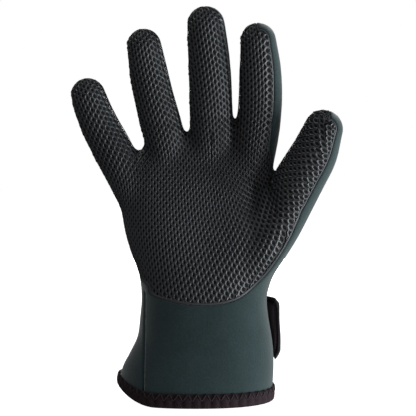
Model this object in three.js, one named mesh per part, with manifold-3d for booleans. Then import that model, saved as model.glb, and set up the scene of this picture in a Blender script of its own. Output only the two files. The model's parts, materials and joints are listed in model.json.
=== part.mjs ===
// A right-hand neoprene sport glove in its filled form. Sizes are in millimetres.
// The origin is the centre of the wrist opening. +Z runs to the fingertips, the
// palm faces -Y and the thumb points to +X.
import * as THREE from 'three';
import { mergeVertices } from 'three/addons/utils/BufferGeometryUtils.js';
import Module from 'manifold-3d';

// Driving dimensions
const WALL = 3.0; // neoprene sheet
const SEAM_GAP = 0.35; // clearance between pieces that are sewn together
const BODY_SIDES = 32; // facets round the hand and cuff
const DIGIT_SIDES = 16; // facets round a digit
const TIP_RINGS = 3; // rings of facets on a rounded fingertip
const SQUARENESS = 2.35; // superellipse power of the hand's section

const CORNER_RISE = 11.3; // how far the hem lifts at the little-finger corner
const CORNER_START = -24; // x where that lift starts
const CORNER_REACH = 26; // and how far it runs outwards
const RISE_HEIGHT = 50; // height at which the lift has faded out

const BINDING = { height: 8.6, tape: 1.3, facets: 48 };
const STRAP_LOW = 21.8; // lower edge of the wrist strap
const STRAP_WIDTH = 38;

// Hand and cuff, a row for each section: its height, its outer edges in x
// (left is the little-finger side) and its outer faces in y (front is the palm)
const BODY_ROWS = [
  { z: -0.8, left: -47.6, right: 46.9, front: -34, back: 34 },
  { z: 12, left: -45.5, right: 48.0, front: -33, back: 33 },
  { z: 24, left: -41.0, right: 48.1, front: -31.5, back: 31.5 },
  { z: 36, left: -36.3, right: 47.0, front: -30, back: 30 },
  { z: 48, left: -34.8, right: 44.9, front: -29, back: 28.5 },
  { z: 62, left: -33.8, right: 44.0, front: -28, back: 27 },
  { z: 76, left: -35.6, right: 48.4, front: -27.5, back: 25 },
  { z: 90, left: -40.6, right: 52.2, front: -27, back: 23 },
  { z: 106, left: -44.9, right: 55.6, front: -25.5, back: 21.5 },
  { z: 118, left: -46.7, right: 56.4, front: -23, back: 20 },
  { z: 127, left: -47.4, right: 52.5, front: -21, back: 19 },
  { z: 135, left: -47.6, right: 45.0, front: -18.5, back: 17.5 },
  { z: 143, left: -45.0, right: 42.0, front: -15, back: 15 },
  { z: 150, left: -37.8, right: 37.5, front: -11.5, back: 12 },
  { z: 156, left: -27.6, right: 31.0, front: -8, back: 9 },
  { z: 162, left: -19.0, right: 25.0, front: -5, back: 5.5 },
];

// Digits, a row for each station of the centre line from the root to the tip's
// centre, with the half width across the digit and the half depth front to back
const DIGITS = {
  little: [
    { x: -30.5, y: -1.5, z: 112, halfWidth: 12.8, halfDepth: 14.0 },
    { x: -43.9, y: -1.5, z: 138, halfWidth: 12.6, halfDepth: 12.7 },
    { x: -52.5, y: -2.0, z: 154.5, halfWidth: 12.5, halfDepth: 11.8 },
    { x: -57.5, y: -3.0, z: 164, halfWidth: 12.0, halfDepth: 11.3 },
    { x: -61.8, y: -4.5, z: 173.5, halfWidth: 11.5, halfDepth: 10.8 },
    { x: -65.8, y: -7.0, z: 185.3, halfWidth: 10.6, halfDepth: 10.0 },
  ],
  ring: [
    { x: -11.5, y: -1.5, z: 120, halfWidth: 12.5, halfDepth: 13.4 },
    { x: -16.8, y: -1.5, z: 148.5, halfWidth: 13.1, halfDepth: 12.8 },
    { x: -20.9, y: -2.0, z: 165.5, halfWidth: 12.9, halfDepth: 12.2 },
    { x: -25.7, y: -3.0, z: 184, halfWidth: 12.3, halfDepth: 11.6 },
    { x: -29.6, y: -5.5, z: 203.5, halfWidth: 11.5, halfDepth: 11.0 },
    { x: -31.4, y: -8.5, z: 215.3, halfWidth: 10.5, halfDepth: 10.1 },
  ],
  middle: [
    { x: 8.6, y: -1.5, z: 122, halfWidth: 12.6, halfDepth: 13.4 },
    { x: 9.3, y: -1.5, z: 150, halfWidth: 13.2, halfDepth: 12.8 },
    { x: 9.4, y: -2.0, z: 170, halfWidth: 13.5, halfDepth: 12.5 },
    { x: 9.1, y: -3.0, z: 188, halfWidth: 13.4, halfDepth: 12.2 },
    { x: 8.1, y: -5.0, z: 206.5, halfWidth: 12.9, halfDepth: 11.7 },
    { x: 6.2, y: -9.0, z: 227.7, halfWidth: 11.6, halfDepth: 10.9 },
  ],
  index: [
    { x: 30.0, y: -1.5, z: 120, halfWidth: 13.4, halfDepth: 13.6 },
    { x: 35.0, y: -1.5, z: 146, halfWidth: 13.6, halfDepth: 13.0 },
    { x: 38.1, y: -2.5, z: 166, halfWidth: 13.7, halfDepth: 12.8 },
    { x: 39.4, y: -3.5, z: 184, halfWidth: 13.6, halfDepth: 12.5 },
    { x: 39.2, y: -5.5, z: 201.5, halfWidth: 12.9, halfDepth: 11.9 },
    { x: 37.9, y: -8.5, z: 218.5, halfWidth: 11.0, halfDepth: 10.6 },
  ],
  thumb: [
    { x: 26.0, y: -6.0, z: 66, halfWidth: 12.0, halfDepth: 16.0 },
    { x: 36.4, y: -8.0, z: 85, halfWidth: 15.0, halfDepth: 16.3 },
    { x: 47.1, y: -9.5, z: 104, halfWidth: 16.2, halfDepth: 15.8 },
    { x: 56.2, y: -10.5, z: 121.5, halfWidth: 16.1, halfDepth: 14.7 },
    { x: 64.5, y: -11.5, z: 136.5, halfWidth: 15.3, halfDepth: 13.9 },
    { x: 71.4, y: -13.0, z: 149, halfWidth: 14.5, halfDepth: 13.3 },
    { x: 77.1, y: -16.0, z: 164.3, halfWidth: 12.0, halfDepth: 11.6 },
  ],
};

// Where the palm sheet meets the back sheet on the hand, a row for each height:
// a straight cut runs from the left point to the right point of the row
const HAND_SEAM_ROWS = [
  { z: -20, leftX: -31.5, leftY: -28, rightX: 50, rightY: -2 },
  { z: 20, leftX: -31.5, leftY: -23, rightX: 50, rightY: -2 },
  { z: 62, leftX: -31.0, leftY: -12, rightX: 50, rightY: -2 },
  { z: 80, leftX: -38.0, leftY: 1, rightX: 50, rightY: -4 },
  { z: 160, leftX: -48.0, leftY: 1, rightX: 50, rightY: -2 },
  { z: 260, leftX: -48.0, leftY: 1, rightX: 50, rightY: -2 },
];

// The same cut on a digit: depth at its left side, and the place on its right side
// as fractions of the half width and half depth. Between the heights closed and open
// it comes forward to that place from the digit's outline.
const DIGIT_SEAMS = {
  little: { from: 2, leftY: 1.0, rightWidth: 1.0, rightDepth: 0.0 },
  ring: { from: 2, leftY: 1.0, rightWidth: 0.99, rightDepth: -0.15 },
  middle: { from: 2, leftY: 1.0, rightWidth: 0.92, rightDepth: -0.39 },
  index: { from: 1, leftY: 1.0, rightWidth: 0.58, rightDepth: -0.81, closed: 136, open: 158 },
  thumb: { from: 2, leftY: 1.5, rightWidth: 0.58, rightDepth: -0.81, closed: 100, open: 118 },
};
const SEAM_SPREAD = 1.15; // half widths that a digit's cut spreads before the hand's takes over
const HAND_SEAM_WEIGHT = 0.05;

// Lower edge of the palm sheet, seen from the front, from the little-finger side
// up to where it meets the thumb's outer seam
const PALM_EDGE = [
  { x: -36, z: 72 },
  { x: -27, z: 64 },
  { x: -11, z: 60 },
  { x: 8, z: 58.8 },
  { x: 26, z: 62.5 },
  { x: 41, z: 74.5 },
  { x: 50, z: 86 },
  { x: 57, z: 98 },
  { x: 62, z: 109.5 },
  { x: 67, z: 119 },
];

// The strap and the loop patch lie over the back of the wrist, from one angle to
// another about the cuff's middle; 0 is the thumb side and 90 the back
const STRAP_LAYERS = {
  loopPatch: { from: 18, to: 84, gap: 0.4, thick: 1.2, inset: 1.5, loose: 0, tuck: 0 },
  hookTab: { from: -2, to: 46, gap: 2.0, thick: 1.2, inset: 1.2, loose: 4.0, tuck: 1.5 },
  wristStrap: { from: -2, to: 142, gap: 3.6, thick: 2.0, inset: 0, loose: 4.0, tuck: 1.5 },
};
const LOOSE_END = 26; // angle at which the loose end has come down onto the patch
const TUCK_END = { from: 3, to: 15 }; // where it leaves the cuff and climbs onto the patch
const SEWN_END = { from: 124, to: 138, drop: 3.2 }; // where the sewn end sinks to the cuff
const STRAP_STEP = 6; // degrees between the strap's sections

const wasm = await Module();
wasm.setup();

const smoothstep = (low, high, value) => THREE.MathUtils.smoothstep(value, low, high);

/** The hem's lift at a point, largest at the little-finger corner of the cuff. */
function cornerLift(x, z) {
  const outwards = Math.max(0, (CORNER_START - x) / CORNER_REACH);
  const fade = THREE.MathUtils.clamp(1 - z / RISE_HEIGHT, 0, 1);
  return CORNER_RISE * Math.min(1, outwards) ** 2 * fade;
}

/** One value of a table at height z, between the two rows around it. */
function atHeight(rows, z, column) {
  const top = rows.findIndex((row) => row.z >= z);
  if (top === 0) return rows[0][column];
  if (top < 0) return rows[rows.length - 1][column];
  const [low, high] = [rows[top - 1], rows[top]];
  return THREE.MathUtils.lerp(low[column], high[column], (z - low.z) / (high.z - low.z));
}

/** The hand's section at height z, drawn in by an inset. */
function bodySection(z, inset) {
  const left = atHeight(BODY_ROWS, z, 'left') + inset;
  const right = atHeight(BODY_ROWS, z, 'right') - inset;
  const front = atHeight(BODY_ROWS, z, 'front') + inset;
  const back = atHeight(BODY_ROWS, z, 'back') - inset;
  return { z, x: (left + right) / 2, halfWidth: (right - left) / 2, front, back };
}

/** The point of a hand section at an angle: 0 is +X and 90 degrees is the back. */
function sectionPoint(section, angle) {
  const power = 2 / SQUARENESS;
  const across = Math.cos(angle);
  const along = Math.sin(angle);
  const depth = along < 0 ? -section.front : section.back;
  const x = section.x + section.halfWidth * Math.sign(across) * Math.abs(across) ** power;
  const y = depth * Math.sign(along) * Math.abs(along) ** power;
  return new THREE.Vector3(x, y, section.z + cornerLift(x, section.z));
}

/** A ring of points round the hand at height z. */
function bodyRing(z, inset, sides) {
  const section = bodySection(z, inset);
  return Array.from({ length: sides }, (_, i) => sectionPoint(section, (2 * Math.PI * i) / sides));
}

/** A closed solid through a list of rings, each with the same number of points. */
function loft(rings, closedLoop = false) {
  const sides = rings[0].length;
  const points = rings.flat();
  const faces = [];
  const spans = closedLoop ? rings.length : rings.length - 1;
  for (let row = 0; row < spans; row += 1) {
    const low = row * sides;
    const high = ((row + 1) % rings.length) * sides;
    for (let side = 0; side < sides; side += 1) {
      const next = (side + 1) % sides;
      faces.push(low + side, low + next, high + next, low + side, high + next, high + side);
    }
  }
  if (!closedLoop) {
    const last = (rings.length - 1) * sides;
    for (const [start, flip] of [[0, true], [last, false]]) {
      const ring = rings[start / sides];
      const centre = ring.reduce((sum, p) => sum.add(p), new THREE.Vector3());
      points.push(centre.divideScalar(sides));
      for (let side = 0; side < sides; side += 1) {
        const pair = [start + side, start + ((side + 1) % sides)];
        faces.push(...(flip ? pair.reverse() : pair), points.length - 1);
      }
    }
  }
  const geometry = new THREE.BufferGeometry();
  geometry.setAttribute('position', new THREE.BufferAttribute(
    new Float32Array(points.flatMap((p) => p.toArray())), 3));
  geometry.setIndex(faces);
  return geometry;
}

/** A closed geometry as a solid that can be joined and cut. */
function toSolid(geometry) {
  geometry.deleteAttribute('normal');
  geometry.deleteAttribute('uv');
  const merged = mergeVertices(geometry, 1e-4);
  return new wasm.Manifold(new wasm.Mesh({
    numProp: 3,
    vertProperties: new Float32Array(merged.getAttribute('position').array),
    triVerts: new Uint32Array(merged.getIndex().array),
  }));
}

/** A solid's triangles as a geometry. */
function toGeometry(solid) {
  const mesh = solid.getMesh();
  const geometry = new THREE.BufferGeometry();
  geometry.setAttribute('position', new THREE.BufferAttribute(mesh.vertProperties, 3));
  geometry.setIndex(new THREE.BufferAttribute(mesh.triVerts, 1));
  return geometry;
}

/** The hand and cuff, drawn in by an inset and run on below the hem by extra. */
function handSolid(inset, extra) {
  const top = BODY_ROWS[BODY_ROWS.length - 1].z - inset;
  const heights = BODY_ROWS.map((row) => row.z).filter((z) => z < top);
  heights.push(top);
  const rings = heights.map((z) => bodyRing(z, inset, BODY_SIDES));
  if (extra > 0) {
    rings.unshift(rings[0].map((p) => new THREE.Vector3(p.x, p.y, p.z - extra)));
  }
  return toSolid(loft(rings));
}

/** Rings along a digit's centre line, ending in a rounded tip. */
function digitRings(stations, inset) {
  const centres = stations.map((s) => new THREE.Vector3(s.x, s.y, s.z));
  const rings = [];
  const ringAt = (centre, tangent, halfWidth, halfDepth) => {
    const across = new THREE.Vector3(0, 1, 0).cross(tangent).normalize();
    const depth = new THREE.Vector3().crossVectors(tangent, across);
    return Array.from({ length: DIGIT_SIDES }, (_, i) => {
      const angle = (2 * Math.PI * i) / DIGIT_SIDES;
      return centre.clone()
        .addScaledVector(across, halfWidth * Math.cos(angle))
        .addScaledVector(depth, halfDepth * Math.sin(angle));
    });
  };
  stations.forEach((station, i) => {
    const before = centres[Math.max(0, i - 1)];
    const after = centres[Math.min(stations.length - 1, i + 1)];
    const tangent = new THREE.Vector3().subVectors(after, before).normalize();
    rings.push(ringAt(centres[i], tangent, station.halfWidth - inset, station.halfDepth - inset));
  });
  const tip = stations[stations.length - 1];
  const end = centres[centres.length - 1];
  const heading = new THREE.Vector3().subVectors(end, centres[centres.length - 2]).normalize();
  const reach = tip.halfWidth - inset;
  for (let i = 1; i <= TIP_RINGS; i += 1) {
    const rise = (Math.PI / 2) * (i / (TIP_RINGS + 0.6));
    const centre = end.clone().addScaledVector(heading, reach * Math.sin(rise));
    const shrink = Math.cos(rise);
    rings.push(ringAt(centre, heading, reach * shrink, (tip.halfDepth - inset) * shrink));
  }
  return rings;
}

/** The whole glove as one filled form, drawn in by an inset. */
function gloveForm(inset, extra) {
  return Object.values(DIGITS)
    .map((stations) => toSolid(loft(digitRings(stations, inset))))
    .reduce((form, digit) => form.add(digit), handSolid(inset, extra));
}

/** Place of a point beside a digit's centre line, in the front view. */
function besideDigit(stations, x, z) {
  let nearest = { distance: Infinity };
  for (let i = 1; i < stations.length; i += 1) {
    const [a, b] = [stations[i - 1], stations[i]];
    const run = new THREE.Vector2(b.x - a.x, b.z - a.z);
    const offset = new THREE.Vector2(x - a.x, z - a.z);
    const along = THREE.MathUtils.clamp(offset.dot(run) / run.lengthSq(), 0, 1);
    const away = offset.clone().addScaledVector(run, -along);
    if (away.length() < nearest.distance) {
      const side = run.x * away.y - run.y * away.x > 0 ? -1 : 1;
      const mix = (column) => THREE.MathUtils.lerp(a[column], b[column], along);
      nearest = {
        distance: away.length(),
        across: side * away.length(),
        y: mix('y'),
        z: mix('z'),
        halfWidth: mix('halfWidth'),
        halfDepth: mix('halfDepth'),
      };
    }
  }
  return nearest;
}

/** Depth of the cut between the palm sheet and the back sheet at a place. */
function seamDepth(x, z) {
  const row = (column) => atHeight(HAND_SEAM_ROWS, z, column);
  const part = (x - row('leftX')) / (row('rightX') - row('leftX'));
  let weight = HAND_SEAM_WEIGHT;
  let sum = weight * THREE.MathUtils.lerp(row('leftY'), row('rightY'), part);
  for (const [name, seam] of Object.entries(DIGIT_SEAMS)) {
    const near = besideDigit(DIGITS[name].slice(seam.from), x, z);
    const forward = seam.open ? smoothstep(seam.closed, seam.open, near.z) : 1;
    const left = { across: -near.halfWidth, y: near.y + seam.leftY };
    const right = {
      across: near.halfWidth * THREE.MathUtils.lerp(1, seam.rightWidth, forward),
      y: near.y + near.halfDepth * seam.rightDepth * forward,
    };
    const share = (near.across - left.across) / (right.across - left.across);
    const pull = 1 / (1 + (near.distance / (SEAM_SPREAD * near.halfWidth)) ** 6);
    sum += pull * THREE.MathUtils.lerp(left.y, right.y, THREE.MathUtils.clamp(share, -0.6, 1.6));
    weight += pull;
  }
  return sum / weight;
}

/** A block in front of the seam surface, pushed back by a shift. */
function frontBlock(shift) {
  const [xLow, xHigh, zLow, zHigh, front, cell] = [-91, 105, -28, 259, -90, 7];
  const columns = Math.round((xHigh - xLow) / cell);
  const rows = Math.round((zHigh - zLow) / cell);
  const rings = [];
  for (let i = 0; i <= columns; i += 1) {
    const x = xLow + i * cell;
    const ring = [new THREE.Vector3(x, front, zLow)];
    for (let j = 0; j <= rows; j += 1) {
      const z = zLow + j * cell;
      ring.push(new THREE.Vector3(x, seamDepth(x, z) + shift, z));
    }
    ring.push(new THREE.Vector3(x, front, zHigh));
    rings.push(ring);
  }
  return toSolid(loft(rings));
}

/** A block over the palm sheet as seen from the front, its lower edge moved by a shift. */
function palmBlock(shift) {
  const edge = new THREE.SplineCurve(PALM_EDGE.map((p) => new THREE.Vector2(p.x, p.z - shift)));
  const outline = new THREE.Shape([
    ...edge.getPoints(24),
    new THREE.Vector2(84, 128 - shift),
    new THREE.Vector2(110, 134),
    new THREE.Vector2(110, 260),
    new THREE.Vector2(-95, 260),
    new THREE.Vector2(-95, 76 - shift),
  ]);
  const block = new THREE.ExtrudeGeometry(outline, { depth: 140, bevelEnabled: false });
  block.rotateX(Math.PI / 2);
  block.translate(0, 70, 0);
  return toSolid(block);
}

/** The front part of the cuff, left of which the back sheet comes round. */
function sideSeamBlock() {
  const block = new THREE.BoxGeometry(SEAM_GAP, 60, 110);
  block.translate(HAND_SEAM_ROWS[0].leftX, -40, 25);
  return toSolid(block);
}

/** The palm sheet and the back sheet, which also wraps round to the front of the cuff. */
function sheets() {
  const shell = gloveForm(0, 0).subtract(gloveForm(WALL, 8));
  const palm = shell.intersect(frontBlock(0)).intersect(palmBlock(0));
  const clearance = frontBlock(SEAM_GAP).intersect(palmBlock(SEAM_GAP));
  const back = shell.subtract(clearance).subtract(sideSeamBlock());
  return { palm, back };
}

/** The folded tape round the edge of the wrist opening, with a slot for the sheet. */
function bindingTape() {
  const { height, tape, facets } = BINDING;
  const hem = BODY_ROWS[0].z;
  const lap = tape + SEAM_GAP;
  const profile = [
    { out: lap, up: -lap },
    { out: lap, up: height - lap },
    { out: SEAM_GAP, up: height - lap },
    { out: SEAM_GAP, up: -SEAM_GAP },
    { out: -WALL - SEAM_GAP, up: -SEAM_GAP },
    { out: -WALL - SEAM_GAP, up: height - lap },
    { out: -WALL - lap, up: height - lap },
    { out: -WALL - lap, up: -lap },
  ];
  const rings = Array.from({ length: facets }, (_, i) => {
    const angle = (2 * Math.PI * i) / facets;
    return profile.map(({ out, up }) => {
      const point = sectionPoint(bodySection(hem + Math.max(0, up), -out), angle);
      point.z += Math.min(0, up);
      return point;
    });
  });
  return loft(rings.reverse(), true);
}

/** How far a strap layer stands off the cuff at an angle and a height share. */
function standOff(layer, degrees, share) {
  const loose = layer.loose * share * (1 - smoothstep(layer.from, LOOSE_END, degrees));
  const tuck = layer.tuck * (1 - smoothstep(TUCK_END.from, TUCK_END.to, degrees));
  const sewn = SEWN_END.drop * smoothstep(SEWN_END.from, SEWN_END.to, degrees);
  return layer.gap + loose - tuck - sewn;
}

/** A flat layer that follows the cuff's back at the strap's height. */
function strapLayer(layer) {
  const steps = Math.round((layer.to - layer.from) / STRAP_STEP);
  const low = STRAP_LOW + layer.inset;
  const high = STRAP_LOW + STRAP_WIDTH - layer.inset;
  const levels = [0, 1 / 3, 2 / 3, 1];
  const place = (degrees, share, extra) => {
    const z = THREE.MathUtils.lerp(low, high, share);
    const out = standOff(layer, degrees, share) + extra;
    const angle = THREE.MathUtils.degToRad(degrees);
    return sectionPoint(bodySection(z, -out), angle);
  };
  const rings = Array.from({ length: steps + 1 }, (_, i) => {
    const degrees = layer.from + ((layer.to - layer.from) * i) / steps;
    const inner = levels.map((share) => place(degrees, share, 0));
    const outer = levels.map((share) => place(degrees, share, layer.thick)).reverse();
    return [...inner, ...outer];
  });
  return loft(rings);
}

const finish = (color, roughness) => new THREE.MeshStandardMaterial({ color, roughness, metalness: 0 });
const embossedBlack = finish(0x26282b, 0.55);
const neopreneGreen = finish(0x2f4a4c, 0.85);
const tapeBlack = finish(0x1f1a1d, 0.8);
const strapBlack = finish(0x17171a, 0.9);

const glove = new THREE.Group();

/** A named piece of the glove. */
function addPiece(name, geometry, material) {
  const piece = new THREE.Mesh(geometry, material);
  piece.name = name;
  glove.add(piece);
}

const { palm, back } = sheets();
addPiece('palm_panel', toGeometry(palm), embossedBlack);
addPiece('back_panel', toGeometry(back), neopreneGreen);
addPiece('hem_binding', bindingTape(), tapeBlack);
addPiece('loop_patch', strapLayer(STRAP_LAYERS.loopPatch), strapBlack);
addPiece('hook_tab', strapLayer(STRAP_LAYERS.hookTab), strapBlack.clone());
addPiece('wrist_strap', strapLayer(STRAP_LAYERS.wristStrap), strapBlack.clone());

export default glove;
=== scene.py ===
"""Looks of a right-hand neoprene sport glove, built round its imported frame.

Lengths are worked out in millimetres, in the frame's own axes, and become metres
when a mesh is made. +Z runs to the fingertips, the palm faces -Y, the thumb is at +X.
"""

from __future__ import annotations

import json
import logging
import math
from dataclasses import dataclass, field
from enum import Enum
from typing import Sequence

import bmesh
import bpy
import numpy as np
from mathutils import Matrix, Vector
from mathutils.kdtree import KDTree

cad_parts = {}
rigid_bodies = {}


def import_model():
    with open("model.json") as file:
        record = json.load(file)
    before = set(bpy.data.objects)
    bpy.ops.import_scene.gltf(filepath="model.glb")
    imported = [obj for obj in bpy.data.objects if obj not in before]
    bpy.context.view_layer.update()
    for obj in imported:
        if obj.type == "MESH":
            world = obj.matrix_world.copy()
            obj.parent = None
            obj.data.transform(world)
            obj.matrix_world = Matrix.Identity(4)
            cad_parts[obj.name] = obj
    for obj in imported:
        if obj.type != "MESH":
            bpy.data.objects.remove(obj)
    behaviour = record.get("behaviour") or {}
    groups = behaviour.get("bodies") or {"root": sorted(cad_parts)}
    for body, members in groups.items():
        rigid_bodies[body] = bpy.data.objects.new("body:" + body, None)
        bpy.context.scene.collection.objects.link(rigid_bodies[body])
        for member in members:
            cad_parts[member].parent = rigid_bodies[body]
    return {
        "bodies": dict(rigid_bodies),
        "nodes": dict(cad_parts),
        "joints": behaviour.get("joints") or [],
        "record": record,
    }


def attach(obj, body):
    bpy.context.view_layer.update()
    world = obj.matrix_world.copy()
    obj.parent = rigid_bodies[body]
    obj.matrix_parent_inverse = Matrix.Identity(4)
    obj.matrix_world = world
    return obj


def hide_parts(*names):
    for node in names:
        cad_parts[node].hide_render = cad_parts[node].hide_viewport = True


LOG = logging.getLogger("glove")
MM = 0.001
BODY = "root"
# Name of the layer of painted light and shade: painted highlight on the net's crests, painted shade at
# their feet, and painted shadow and shade on the hem tape.
PAINTED_LIGHT_AND_SHADE = "rise"


class Slot(Enum):
    """The record's material slots."""

    PALM = "embossed_palm"
    BACK = "green_neoprene"
    BINDING = "binding_tape"
    LOOP = "loop_pile"
    HOOK = "hook_tape"
    STRAP = "strap_webbing"


@dataclass(frozen=True)
class HandRow:
    """One section of the hand and cuff: its height, edges in x and faces in y."""

    z: float
    left: float
    right: float
    front: float
    back: float


@dataclass(frozen=True)
class Station:
    """One place on a digit's centre line, with its half width and half depth."""

    x: float
    y: float
    z: float
    half_width: float
    half_depth: float


@dataclass(frozen=True)
class SeamRow:
    """Two points of the straight cut between palm and back sheet at one height."""

    z: float
    left_x: float
    left_y: float
    right_x: float
    right_y: float


@dataclass(frozen=True)
class DigitSeam:
    """Where the sheets meet on a digit: depth at its left, fractions at its right.

    Between the heights closed and open the meeting line comes forward at the right,
    from the silhouette to those fractions.
    """

    first: int
    left_y: float
    right_width: float
    right_depth: float
    closed: float = -2.0
    open: float = -1.0


@dataclass(frozen=True)
class DigitNet:
    """How the embossed net runs on a digit.

    start and full are the lengths along the centre line where the digit's own
    directions begin and are complete. turn leans the net against the centre line,
    in degrees, pitch scales it, and stretch widens it round the digit. At anchor,
    the x and z of a place on the palm, it is in step with the net of the hand.
    """

    start: float
    full: float
    turn: float
    pitch: float
    stretch: float
    anchor: tuple[float, float]


# The hand and cuff from hem to finger roots.
HAND_ROWS = (
    HandRow(-0.8, -47.6, 46.9, -34, 34),
    HandRow(12, -45.5, 48.0, -33, 33),
    HandRow(24, -41.0, 48.1, -31.5, 31.5),
    HandRow(36, -36.3, 47.0, -30, 30),
    HandRow(48, -34.8, 44.9, -29, 28.5),
    HandRow(62, -33.8, 44.0, -28, 27),
    HandRow(76, -35.6, 48.4, -27.5, 25),
    HandRow(90, -40.6, 52.2, -27, 23),
    HandRow(106, -44.9, 55.6, -25.5, 21.5),
    HandRow(118, -46.7, 56.4, -23, 20),
    HandRow(127, -47.4, 52.5, -21, 19),
    HandRow(135, -47.6, 45.0, -18.5, 17.5),
    HandRow(143, -45.0, 42.0, -15, 15),
    HandRow(150, -37.8, 37.5, -11.5, 12),
    HandRow(156, -27.6, 31.0, -8, 9),
    HandRow(162, -19.0, 25.0, -5, 5.5),
)

# Each digit from its root inside the hand to the middle of its round tip.
DIGITS = {
    "little": (
        Station(-30.5, -1.5, 112, 12.8, 14.0),
        Station(-43.9, -1.5, 138, 12.6, 12.7),
        Station(-52.5, -2.0, 154.5, 12.5, 11.8),
        Station(-57.5, -3.0, 164, 12.0, 11.3),
        Station(-61.8, -4.5, 173.5, 11.5, 10.8),
        Station(-65.8, -7.0, 185.3, 10.6, 10.0),
    ),
    "ring": (
        Station(-11.5, -1.5, 120, 12.5, 13.4),
        Station(-16.8, -1.5, 148.5, 13.1, 12.8),
        Station(-20.9, -2.0, 165.5, 12.9, 12.2),
        Station(-25.7, -3.0, 184, 12.3, 11.6),
        Station(-29.6, -5.5, 203.5, 11.5, 11.0),
        Station(-31.4, -8.5, 215.3, 10.5, 10.1),
    ),
    "middle": (
        Station(8.6, -1.5, 122, 12.6, 13.4),
        Station(9.3, -1.5, 150, 13.2, 12.8),
        Station(9.4, -2.0, 170, 13.5, 12.5),
        Station(9.1, -3.0, 188, 13.4, 12.2),
        Station(8.1, -5.0, 206.5, 12.9, 11.7),
        Station(6.2, -9.0, 227.7, 11.6, 10.9),
    ),
    "index": (
        Station(30.0, -1.5, 120, 13.4, 13.6),
        Station(35.0, -1.5, 146, 13.6, 13.0),
        Station(38.1, -2.5, 166, 13.7, 12.8),
        Station(39.4, -3.5, 184, 13.6, 12.5),
        Station(39.2, -5.5, 201.5, 12.9, 11.9),
        Station(37.9, -8.5, 218.5, 11.0, 10.6),
    ),
    "thumb": (
        Station(26.0, -6.0, 66, 12.0, 16.0),
        Station(36.4, -8.0, 85, 15.0, 16.3),
        Station(47.1, -9.5, 104, 16.2, 15.8),
        Station(56.2, -10.5, 121.5, 16.1, 14.7),
        Station(64.5, -11.5, 136.5, 15.3, 13.9),
        Station(71.4, -13.0, 149, 14.5, 13.3),
        Station(77.1, -16.0, 164.3, 12.0, 11.6),
    ),
}

# The cut between palm and back sheet on the hand, which crosses to the front on the cuff.
HAND_SEAM = (
    SeamRow(-20, -31.5, -28, 50, -2),
    SeamRow(20, -31.5, -23, 50, -2),
    SeamRow(62, -31.0, -12, 50, -2),
    SeamRow(80, -38.0, 1, 50, -4),
    SeamRow(160, -48.0, 1, 50, -2),
    SeamRow(260, -48.0, 1, 50, -2),
)

DIGIT_SEAMS = {
    "little": DigitSeam(2, 1.0, 1.0, 0.0),
    "ring": DigitSeam(2, 1.0, 0.99, -0.15),
    "middle": DigitSeam(2, 1.0, 0.92, -0.39),
    "index": DigitSeam(1, 1.0, 0.58, -0.81, 136.0, 158.0),
    "thumb": DigitSeam(2, 1.5, 0.58, -0.81, 100.0, 118.0),
}

DIGIT_NETS = {
    "little": DigitNet(14, 44, 4, 1.0, 1.6, (-44, 138)),
    "ring": DigitNet(12, 42, 2, 1.0, 1.6, (-17, 148)),
    "middle": DigitNet(10, 40, 4, 1.0, 1.6, (9.5, 148)),
    "index": DigitNet(10, 40, 1, 1.0, 1.6, (35, 146)),
    "thumb": DigitNet(20, 56, 78, 1.35, 0.87, (42, 112)),
}

# The palm sheet's lower and thumb-side edge in the front view, as x and z. Its first
# point and last two lie past the glove's outline.
PALM_EDGE = (
    (-95, 76),
    (-36, 72),
    (-27, 64),
    (-11, 60),
    (8, 58.8),
    (26, 62.5),
    (41, 74.5),
    (50, 86),
    (57, 98),
    (62, 109.5),
    (67, 119),
    (84, 128),
    (110, 134),
)


@dataclass(frozen=True)
class Dent:
    """A soft hollow in the palm side at x and z, or a swelling if its depth is negative."""

    x: float
    z: float
    width: float
    height: float
    depth: float


# The hollow beside the thumb, the palm's hollow, the ball of the thumb, the crease under
# the ring finger, and a crease across each of three fingers.
DENTS = (
    Dent(40.0, 124.0, 10.0, 16.0, 5.5),
    Dent(10.0, 112.0, 26.0, 28.0, 3.2),
    Dent(36.0, 90.0, 20.0, 20.0, -2.0),
    Dent(-22.0, 128.0, 14.0, 9.0, 0.8),
    Dent(35.5, 168.0, 20.0, 2.6, 0.5),
    Dent(9.0, 172.0, 20.0, 2.6, 0.5),
    Dent(-22.0, 168.0, 20.0, 2.6, 0.5),
)


def hermite(keys: np.ndarray, values: np.ndarray, at: np.ndarray) -> np.ndarray:
    """Reads a smooth curve through a few values.

    Args:
        keys: Rising places of the values.
        values: The values at those places.
        at: Places to read the curve at.

    Returns:
        The curve's values, held constant past both ends.
    """
    slopes = np.gradient(values, keys)
    at = np.clip(at, keys[0], keys[-1])
    span = np.clip(np.searchsorted(keys, at, side="right") - 1, 0, len(keys) - 2)
    width = keys[span + 1] - keys[span]
    t = (at - keys[span]) / width
    rise = t * t * (3 - 2 * t)
    return (
        values[span] * (1 - rise)
        + values[span + 1] * rise
        + width * slopes[span] * t * (1 - t) ** 2
        - width * slopes[span + 1] * t * t * (1 - t)
    )


def smoothstep(low: float, high: float, value: np.ndarray) -> np.ndarray:
    """A smooth rise from 0 at low to 1 at high."""
    t = np.clip((np.asarray(value, float) - low) / (high - low), 0, 1)
    return t * t * (3 - 2 * t)


def unit(vectors: np.ndarray) -> np.ndarray:
    """The same directions at length one."""
    return vectors / np.maximum(np.linalg.norm(vectors, axis=-1, keepdims=True), 1e-12)


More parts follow.
